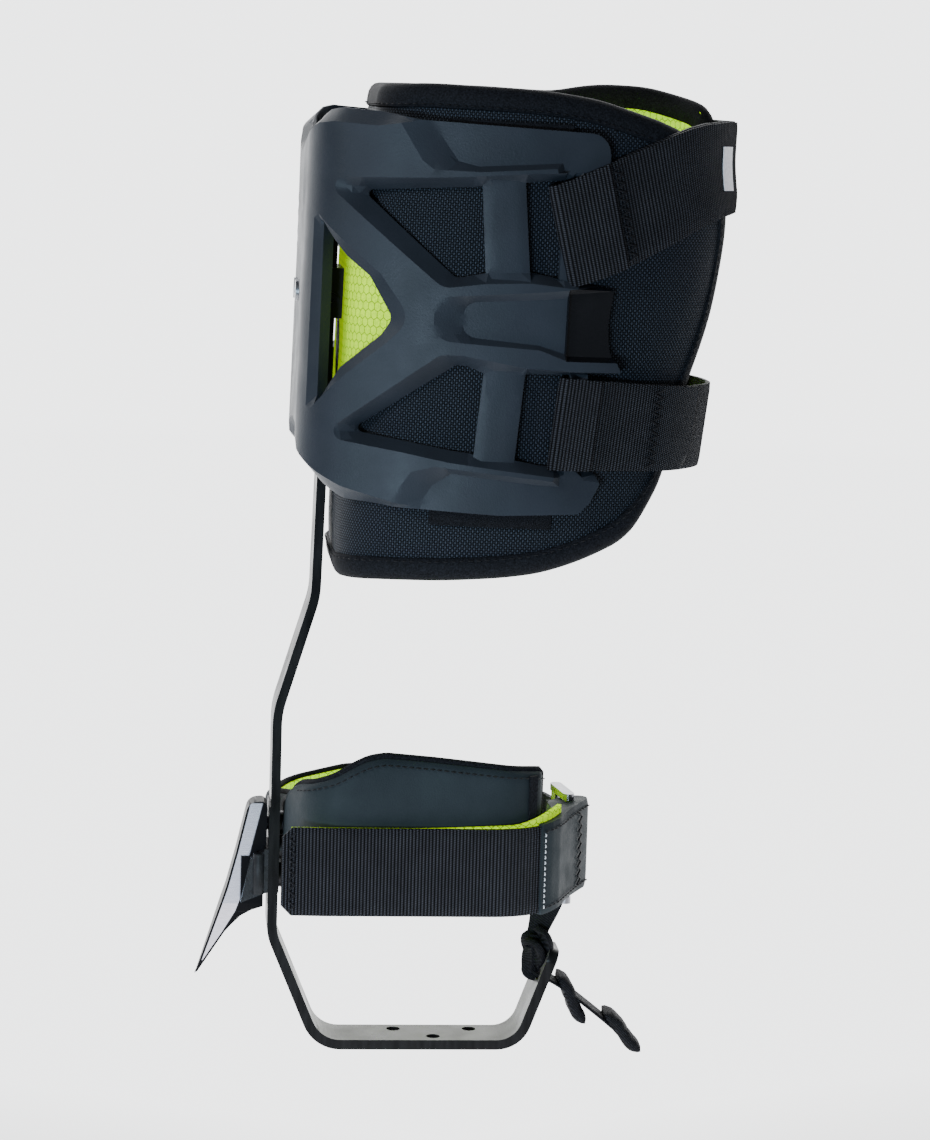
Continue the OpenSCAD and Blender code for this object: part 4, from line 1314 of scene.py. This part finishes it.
def ankle_strap():
    """Ribbed outer webbing on a thin green backing."""
    line = STRAP_LINE
    s = lengths(line)
    rows = 15
    v = np.linspace(0, 1, rows)
    cut = np.clip(4.5 - s, 0, None)[:, None]
    rise = strap_rise(line[:, 0])[:, None]
    lo, hi = ANKLE_Z[0] + 0.8 + cut, ANKLE_Z[1] - 0.8 - cut
    z = lo + (hi - lo) * v[None] + rise
    uv = np.stack([np.repeat(s[:, None], rows, 1), z], -1)
    rib = 0.35 * np.abs(np.sin(s * math.pi / RIB))[:, None]
    soft = np.where((v < 0.01) | (v > 0.99), 0.5, 0.0)[None]
    obj = slab("ankle strap", on_line(line, soft - rib - 2.0, z), on_line(line, -0.1 + 0 * soft, z), uv, 70)
    place(obj, "irons", "webbing_black", "ankle_strap")
    start = 8
    line2, s2 = line[start::6], s[start::6]
    rise = strap_rise(line2[:, 0])[:, None]
    proud = (1.6 * smoothstep(line2[:, 0], -10, 40) + 3.2 * smoothstep(line2[:, 0], 36, 56))[:, None]
    lo, hi = ANKLE_Z[0] + 0.6, ANKLE_Z[1] - 1.2 + proud
    z = lo + (hi - lo) * v[None] + rise
    uv = np.stack([np.repeat(s2[:, None], rows, 1), z], -1)
    back = slab("ankle strap backing", on_line(line2, 0.0, z), on_line(line2, 1.9, z), uv, 60)
    place(back, "irons", "mesh_green")
    p = np.array([[line[9, 0], line[9, 1] - 2.6, ANKLE_Z[0] + 3], [line[9, 0], line[9, 1] - 2.6, ANKLE_Z[1] - 3]]) * MM
    place(zigzag("ankle strap bar tack", p[0], p[1], (0.0, -1.0, 0.0), 3.0), "irons", "webbing_black",
          material=THREAD)


TAB_OUTER = outline([(45.3, -44.3), (51.5, -36.5), (56.4, -26), (55.6, -2, 6), (67, 1.4, 6), (77, -3.8, 6),
                     (62.2, -32), (58.2, -40.4), (54.2, -45.4), (49.4, -49.4)], 8)
TAB_FACE = [(49.7, -49.7), (54.5, -45.6), (58.5, -40.5), (62.5, -32.2), (75.8, -6)]


def tab_line(distance_from_end, height):
    """An upright line on the tab's outer face and the face's direction there."""
    path = resample(np.array(TAB_FACE), 0.5)
    s = lengths(path)
    at = s[-1] - distance_from_end
    here = np.array([np.interp(at, s, path[:, k]) for k in (0, 1)])
    ahead = np.array([np.interp(at + 1, s, path[:, k]) for k in (0, 1)])
    d = unit(ahead - here)
    out = np.array([d[1], -d[0], 0.0])
    z = np.array(height) + strap_rise(here[0])
    p = np.stack([np.array([here[0], here[1], q]) for q in z]) * MM
    return p + out * 0.0003, out


def ankle_tab():
    """Leather fold round the ring's near bar, with its stitching."""
    outer = resample(np.concatenate([TAB_OUTER, TAB_OUTER[:1]]), 1.6)[:-1]
    rows = 17
    rings = []
    centre = outer.mean(0)
    for w in np.linspace(-1, 1, rows):
        shrink = 1.2 * (1 - math.sqrt(max(0.0, 1 - abs(w) ** 10)))
        x = outer - unit(outer - centre) * shrink
        z = (ANKLE_Z[0] + ANKLE_Z[1]) / 2 + (ANKLE_Z[1] - ANKLE_Z[0]) / 2 * w + strap_rise(x[:, 0])
        rings.append(np.concatenate([x, z[:, None]], 1))
    obj = sweep("ankle strap tab", np.array(rings) * MM, None, 40)
    place(obj, "irons", "leather_grey", "ankle_strap_tab")
    face = resample(np.array(TAB_FACE), 1.0)
    side = left_normals(face)
    for label, height in (("upper", ANKLE_Z[1] - 3.2), ("lower", ANKLE_Z[0] + 3.2)):
        z = height + strap_rise(face[:, 0])
        p = np.concatenate([face - side * 0.2, z[:, None]], 1) * MM
        out = np.concatenate([-side, 0 * z[:, None]], 1)
        place(stitches("tab %s stitching" % label, p, out, 2.3, 1.0, 0.36), "irons", "leather_grey", material=THREAD)
    whole = lengths(np.array(TAB_FACE))[-1]
    ends, out = tab_line(whole - 1.0, (ANKLE_Z[0] + 2, ANKLE_Z[1] - 2))
    path = ends[0] + (ends[1] - ends[0]) * np.linspace(0, 1, 40)[:, None]
    place(stitches("tab pale stitching", path, np.tile(out, (40, 1)), 1.4, 1.1, 0.3), "irons", "leather_grey",
          material=THREAD_PALE)
    ends, out = tab_line(14.0, (ANKLE_Z[0] + 4, ANKLE_Z[1] - 4))
    place(zigzag("tab bar tack", ends[0], ends[1], out, 4.0, 2.0, 0.45), "irons", "leather_grey", material=THREAD)


def ring_webbing():
    """Webbing round the ring's far bar, sewn to the far side of the pad."""
    far = np.array([62.0, 12.0])
    line = open_path([(8, 51.3), (37.5, 49.4, 20), (57.9, 30.1, 12), (60.8, 19)], 8)
    eye = [far + 3.3 * np.array([math.cos(a), math.sin(a)]) for a in np.radians(np.arange(100, -190, -12))]
    path = resample(smooth_path(resample(np.concatenate([line, eye]), 1.0), 3), RIB / 3)
    s = lengths(path)
    rows = 13
    z = 70 + 37 * np.linspace(0, 1, rows)[None] + 0 * s[:, None]
    uv = np.stack([np.repeat(s[:, None], rows, 1), z], -1)
    rib = 0.16 * np.abs(np.sin(s * math.pi / RIB))[:, None]
    obj = slab("ring webbing", on_line(path, 1.0 + rib, z), on_line(path, -1.0 + 0 * rib, z), uv, 70)
    place(obj, "irons", "webbing_black", "ring_loop")


# Tether ---------------------------------------------------------------------------------
def tape(name, line, widths, thick, across=(0, 1, 0), twist=None):
    """A flat tape along a line in mm, with rounded edges; twist turns it about the line, radians."""
    line = np.asarray(line, float)
    along = unit(np.gradient(line, axis=0))
    wide = np.tile(np.asarray(across, float), (len(line), 1))
    wide = unit(wide - (wide * along).sum(1, keepdims=True) * along)
    up = np.cross(wide, along)
    turn = np.zeros(len(line)) if twist is None else np.asarray(twist, float)
    c, s = np.cos(turn)[:, None], np.sin(turn)[:, None]
    wide, up = wide * c + up * s, up * c - wide * s
    w = np.broadcast_to(np.asarray(widths, float), (len(line),))[:, None, None] / 2
    t = thick / 2
    section = [(1, 0), (0.96, 0.7), (0.8, 1), (0.4, 1), (0, 1), (-0.4, 1), (-0.8, 1), (-0.96, 0.7), (-1, 0),
               (-0.96, -0.7), (-0.8, -1), (-0.4, -1), (0, -1), (0.4, -1), (0.8, -1), (0.96, -0.7)]
    a = np.array([p[0] for p in section])[None, :, None]
    b = np.array([p[1] for p in section])[None, :, None]
    rings = line[:, None] + wide[:, None] * a * w + up[:, None] * b * t
    return sweep(name, rings * MM, None, 50)


def curve(points, count):
    """Smooth line through points, in mm."""
    p = np.asarray(points, float)
    s = np.concatenate([[0], np.cumsum(np.linalg.norm(np.diff(p, axis=0), axis=1))])
    slope = np.gradient(p, s, axis=0)
    out = []
    for t in np.linspace(0, s[-1], count):
        i = min(np.searchsorted(s, t, "right") - 1, len(p) - 2)
        h = s[i + 1] - s[i]
        u = (t - s[i]) / h
        out.append((2 * u ** 3 - 3 * u ** 2 + 1) * p[i] + (u ** 3 - 2 * u ** 2 + u) * h * slope[i]
                   + (3 * u ** 2 - 2 * u ** 3) * p[i + 1] + (u ** 3 - u ** 2) * h * slope[i + 1])
    return np.array(out)


TAIL_ROUTE = [(54.8, 0, 28.6), (60.4, 0, 26.3), (65.6, 0, 23.2), (70.8, 0, 19.5), (76, 0, 15.5), (81.2, 0, 11.4),
              (86.4, 0, 7.2), (91.6, 0, 2.8), (96.8, 0, -1.7), (102, 0, -6.3)]
TAIL_W, TAIL_T = 16.0, 1.6


def stop(name, node, start, end, bend):
    """A folded and sewn stop: a thick rounded block, slightly curved, on the free end of the tape."""
    a, b = np.array([start[0], 0, start[1]]), np.array([end[0], 0, end[1]])
    mid = (a + b) / 2
    d = unit(b - a)
    n = np.array([-d[2], 0, d[0]])
    line = curve([a - d * 2.2, (a + mid) / 2 + n * bend, mid, (b + mid) / 2 - n * bend, b + d * 2.2], 24)
    u = np.linspace(-1, 1, 24)
    swell = np.sqrt(np.clip(1 - np.abs(u) ** 5, 0.02, 1))
    along = unit(np.gradient(line, axis=0))
    up = np.stack([-along[:, 2], 0 * along[:, 0], along[:, 0]], 1)
    t = np.linspace(0, 2 * math.pi, 24, endpoint=False)
    cy, cz = np.sign(np.cos(t)) * np.abs(np.cos(t)) ** 0.45, np.sign(np.sin(t)) * np.abs(np.sin(t)) ** 0.7
    bump = np.array([[noise.noise(Vector((k * 0.35, math.cos(q) * 1.3, math.sin(q) * 1.3))) for q in t]
                     for k in range(24)]) * 0.5
    rings = (line[:, None] + up[:, None] * (cz[None] * 3.0 * swell[:, None] + bump)[..., None]
             + np.array([0, 1, 0]) * (cy[None] * (TAIL_W + 2) / 2 * (0.75 + 0.25 * swell[:, None]))[..., None])
    obj = sweep(name, rings * MM, None, 70)
    return place(obj, "irons", "tether_black", node)


def tether():
    """One flat tape: from the ankle strap through its knot and the slot to the free end with its stops."""
    knot_in, knot_out = (53.6, -2.4, 47), (52, -0.3, 30.6)
    line = curve([(59, -4, 69), (57.5, -4, 62), (55.2, -3.6, 54), knot_in, (52.4, -1.4, 38), knot_out] + TAIL_ROUTE,
                 110)
    height = line[:, 2]
    wide = np.where(line[:, 0] > 55, TAIL_W, 9.0)
    wide = np.where(height > 48, 9 + (height - 48) * 0.33, wide)
    wide = np.convolve(np.pad(wide, 4, mode="edge"), np.full(9, 1 / 9), "valid")
    tail = tape("tether", line, wide, TAIL_T, twist=1.3 * smoothstep(height, 36, 48))
    place(tail, "irons", "tether_black", "tether_tail", "tether_web")
    turns = curve([(54.2, -4, 50), (56.6, -7.2, 46.5), (56.4, -4.4, 40.5), (52, -0.4, 41), (50.4, -3.8, 45.4),
                   (53, -6.8, 44), (54.6, -5.6, 38), (52.4, -2.4, 33.6), (51.6, -0.6, 30), (54.4, 0, 28.8)], 90)
    knot = tape("tether knot", turns, 8.5, 3.4, twist=np.linspace(0, 5.2, 90))
    place(knot, "irons", "tether_black", "tether_knot")
    core = curve([(53.4, -2, 48), (52.6, -1.6, 42), (51.6, -1, 35), (52, 0, 30)], 20)
    body = tape("tether knot core", core, 8.0, 6.4, twist=np.linspace(0, 1.2, 20))
    place(body, "irons", "tether_black")
    upper = stop("tether stop upper", "tether_stop_upper", (65.4, 26.4), (75.6, 8.2), 0.7)
    lower = stop("tether stop lower", "tether_stop_lower", (87.6, 9.2), (101.4, -5.4), 0.7)
    round(float(lengths(line)[-1]) * MM, 4)


ankle_pad()
ankle_rim()
ankle_strap()
ankle_tab()
ring_webbing()
tether()


# Metal ----------------------------------------------------------------------------------
def gaff_mask():
    """Bright ground flats on the gaff's side faces, black elsewhere; a bright point below."""
    s = Shader("gaff_finish", (0.66, 0.65, 0.69), roughness=0.3, metallic=1.0, specular_ior_level=0.02)
    geometry = s.tree.nodes.new("ShaderNodeNewGeometry")
    side = s.split(s.place())
    normal = s.split(geometry.outputs["True Normal"])
    flat = s.span(s.math("ABSOLUTE", normal[1]), 0.93, 0.95)
    slant = s.math("MULTIPLY_ADD", side[2], -0.236, 0.236 * 0.085)
    upper = s.span(s.math("ADD", side[0], slant), TOP_EDGE, TOP_EDGE - 0.0006)
    upper = s.math("MULTIPLY", upper, s.span(side[2], 0.0840, 0.0846))
    middle = s.span(side[0], MIDDLE_EDGE, MIDDLE_EDGE - 0.0006)
    ground = s.math("MAXIMUM", s.math("MAXIMUM", upper, middle), s.span(side[2], 0.0645, 0.0640))
    tip = s.span(side[2], 0.0335, 0.0325)
    line = s.math("SUBTRACT", 1.0, s.math("MULTIPLY", s.span(side[2], 0.0345, 0.0340), s.math("SUBTRACT", 1.0, tip)))
    bright = s.math("MULTIPLY", s.math("MULTIPLY", flat, ground), line)
    for inner, ends in ((0.0011, GAFF_FRONT), (-0.0012, GAFF_BACK)):
        for (x0, z0), (x1, z1) in zip(ends, ends[1:]):
            slope = (x1 - x0) / (z1 - z0)
            edge = s.math("MULTIPLY_ADD", side[2], slope, (x0 - slope * z0) * MM)
            gap = s.math("SUBTRACT", side[0], edge)
            clear = s.span(gap, inner * 0.8, inner)
            in_span = s.math("MULTIPLY", s.span(side[2], (z0 + 0.01) * MM, (z0 - 0.01) * MM),
                             s.span(side[2], (z1 - 0.01) * MM, (z1 + 0.01) * MM))
            hidden = s.math("MULTIPLY", in_span, s.math("SUBTRACT", 1.0, clear))
            bright = s.math("MULTIPLY", bright, s.math("SUBTRACT", 1.0, hidden))
    bright = s.math("MULTIPLY", bright, s.span(side[2], 0.1086, 0.1080))
    brush = s.noise(1, 3, s.vector("MULTIPLY", s.place(), (260, 900, 2200)))
    silver = s.mix(s.span(brush, 0.3, 0.7), (0.40, 0.39, 0.44), (0.48, 0.47, 0.53))
    s.colour(s.mix(bright, (0.005, 0.005, 0.006), silver))
    s.feed(s.bsdf.inputs["Metallic"], s.math("MULTIPLY", bright, 1.0))
    s.rough(s.mix(bright, (0.3, 0.3, 0.3), (0.27, 0.27, 0.27)))
    s.bump(brush, 0.00003, 0.4)
    return s.material


TOP_EDGE = -0.0783           # inner edge of the gaff's ground flats at the holder's top, m
MIDDLE_EDGE = -0.0822        # the same beside the holder
# Corners in x and z, mm, of the gaff's outer and inner edge
GAFF_FRONT = [(-79.4, 108.6), (-84.8, 85), (-88.8, 69.5), (-101.6, 29.8)]
GAFF_BACK = [(-80.8, 66), (-83.6, 58.1), (-89.2, 48.2), (-101.2, 28.7)]

CAD_FINISH = {
    "stirrup": MATERIAL["anodised_black"], "shank": MATERIAL["anodised_black"], "gaff": gaff_mask(),
    "gaff_holder": MATERIAL["holder_black"], "gaff_bolts": MATERIAL["fastener_black"],
    "cuff_slider": MATERIAL["slider_plastic"], "slider_screws": MATERIAL["fastener_steel"],
    "clamp_screw": MATERIAL["fastener_black"], "ankle_pad_screws": MATERIAL["fastener_black"],
    "ankle_ring": MATERIAL["ring_steel"],
}
ROUNDED = {"stirrup": 0.6, "shank": 0.6, "gaff": 0.5, "gaff_holder": 0.5, "cuff_slider": 0.7}


def finish_metal():
    for name, material in CAD_FINISH.items():
        obj = nodes[name]
        obj.data.materials.clear()
        obj.data.materials.append(material)
        if name in ROUNDED:
            weld = obj.modifiers.new("weld", "WELD")
            weld.merge_threshold = 0.00002
            bevel = obj.modifiers.new("bevel", "BEVEL")
            bevel.width = ROUNDED[name] * MM
            bevel.segments = 2
            bevel.limit_method = "ANGLE"
            bevel.angle_limit = math.radians(40)
            bevel.harden_normals = True


finish_metal()


# Stage ----------------------------------------------------------------------------------
FLOOR_Z = -0.0125


def backdrop():
    """Round floor that curves up far away on every side; it looks pale where its painted glow is strong, bright behind
    the object and dim in front of it.
    """
    bend, reach, top, sides = 1.6, 4.2, 7.0, 96
    line = [(0.0, 0.0), (reach - bend, 0.0)]
    line += [(reach - bend + bend * math.sin(a), bend - bend * math.cos(a))
             for a in np.linspace(0.08, math.pi / 2, 20)]
    line += [(reach, top)]
    turn = [2 * math.pi * i / sides for i in range(sides)]
    verts = [(r * math.cos(a), r * math.sin(a), FLOOR_Z + h) for r, h in line[1:] for a in turn]
    faces = [(i * sides + j, i * sides + (j + 1) % sides, (i + 1) * sides + (j + 1) % sides, (i + 1) * sides + j)
             for i in range(len(line) - 2) for j in range(sides)]
    faces.append(tuple(range(sides)))
    mesh = bpy.data.meshes.new("backdrop")
    mesh.from_pydata(verts, [], faces)
    mesh.polygons.foreach_set("use_smooth", [True] * len(faces))
    paint = Shader("backdrop", (0.06, 0.06, 0.061), roughness=0.95, specular_ior_level=0.0)
    paint.set("Emission Color", (0.98, 0.99, 1.0, 1))
    where = paint.split(paint.place())
    depth = paint.math("SUBTRACT", where[1], paint.math("MULTIPLY", paint.math("ABSOLUTE", where[0]), 0.45))
    # Painted light: the backdrop glows faintly in front of the object and strongly behind it, with a ramp between.
    paint.feed(paint.bsdf.inputs["Emission Strength"], paint.span(depth, -0.6, -0.12, FRONT_GLOW, BACK_GLOW))
    mesh.materials.append(paint.material)
    obj = bpy.data.objects.new("backdrop", mesh)
    scene.collection.objects.link(obj)


# Strength of the backdrop's painted glow in front of the object and behind it
FRONT_GLOW, BACK_GLOW = 0.12, 3.4
# Name, place, width and height, power and tint of each soft box
LAMPS = (("key", (-1.5, -1.2, 1.2), (0.4, 0.6), 26, (1, 0.99, 0.97)),
         ("fill", (1.5, -1.3, 0.6), (0.4, 0.5), 1.6, (0.88, 0.93, 1)),
         ("low", (-0.5, -1.35, 0.06), (0.5, 0.14), 20, (0.62, 0.83, 1)),
         ("back", (0.6, 1.5, 1.4), (1.0, 0.5), 8, (1, 1, 1)))


def studio():
    backdrop()
    world = bpy.data.worlds.new("studio")
    scene.world = world
    world.use_nodes = True
    sky = world.node_tree.nodes["Background"]
    sky.inputs["Color"].default_value = (0.93, 0.95, 1.0, 1)
    sky.inputs["Strength"].default_value = 0.1
    for name, where, size, power, tint in LAMPS:
        data = bpy.data.lights.new(name, "AREA")
        data.shape = "RECTANGLE"
        data.size, data.size_y = size
        data.energy = power
        data.color = tint
        lamp = bpy.data.objects.new(name, data)
        lamp.location = where
        lamp.rotation_euler = (TARGET - Vector(where)).to_track_quat("-Z", "Y").to_euler()
        scene.collection.objects.link(lamp)


studio()
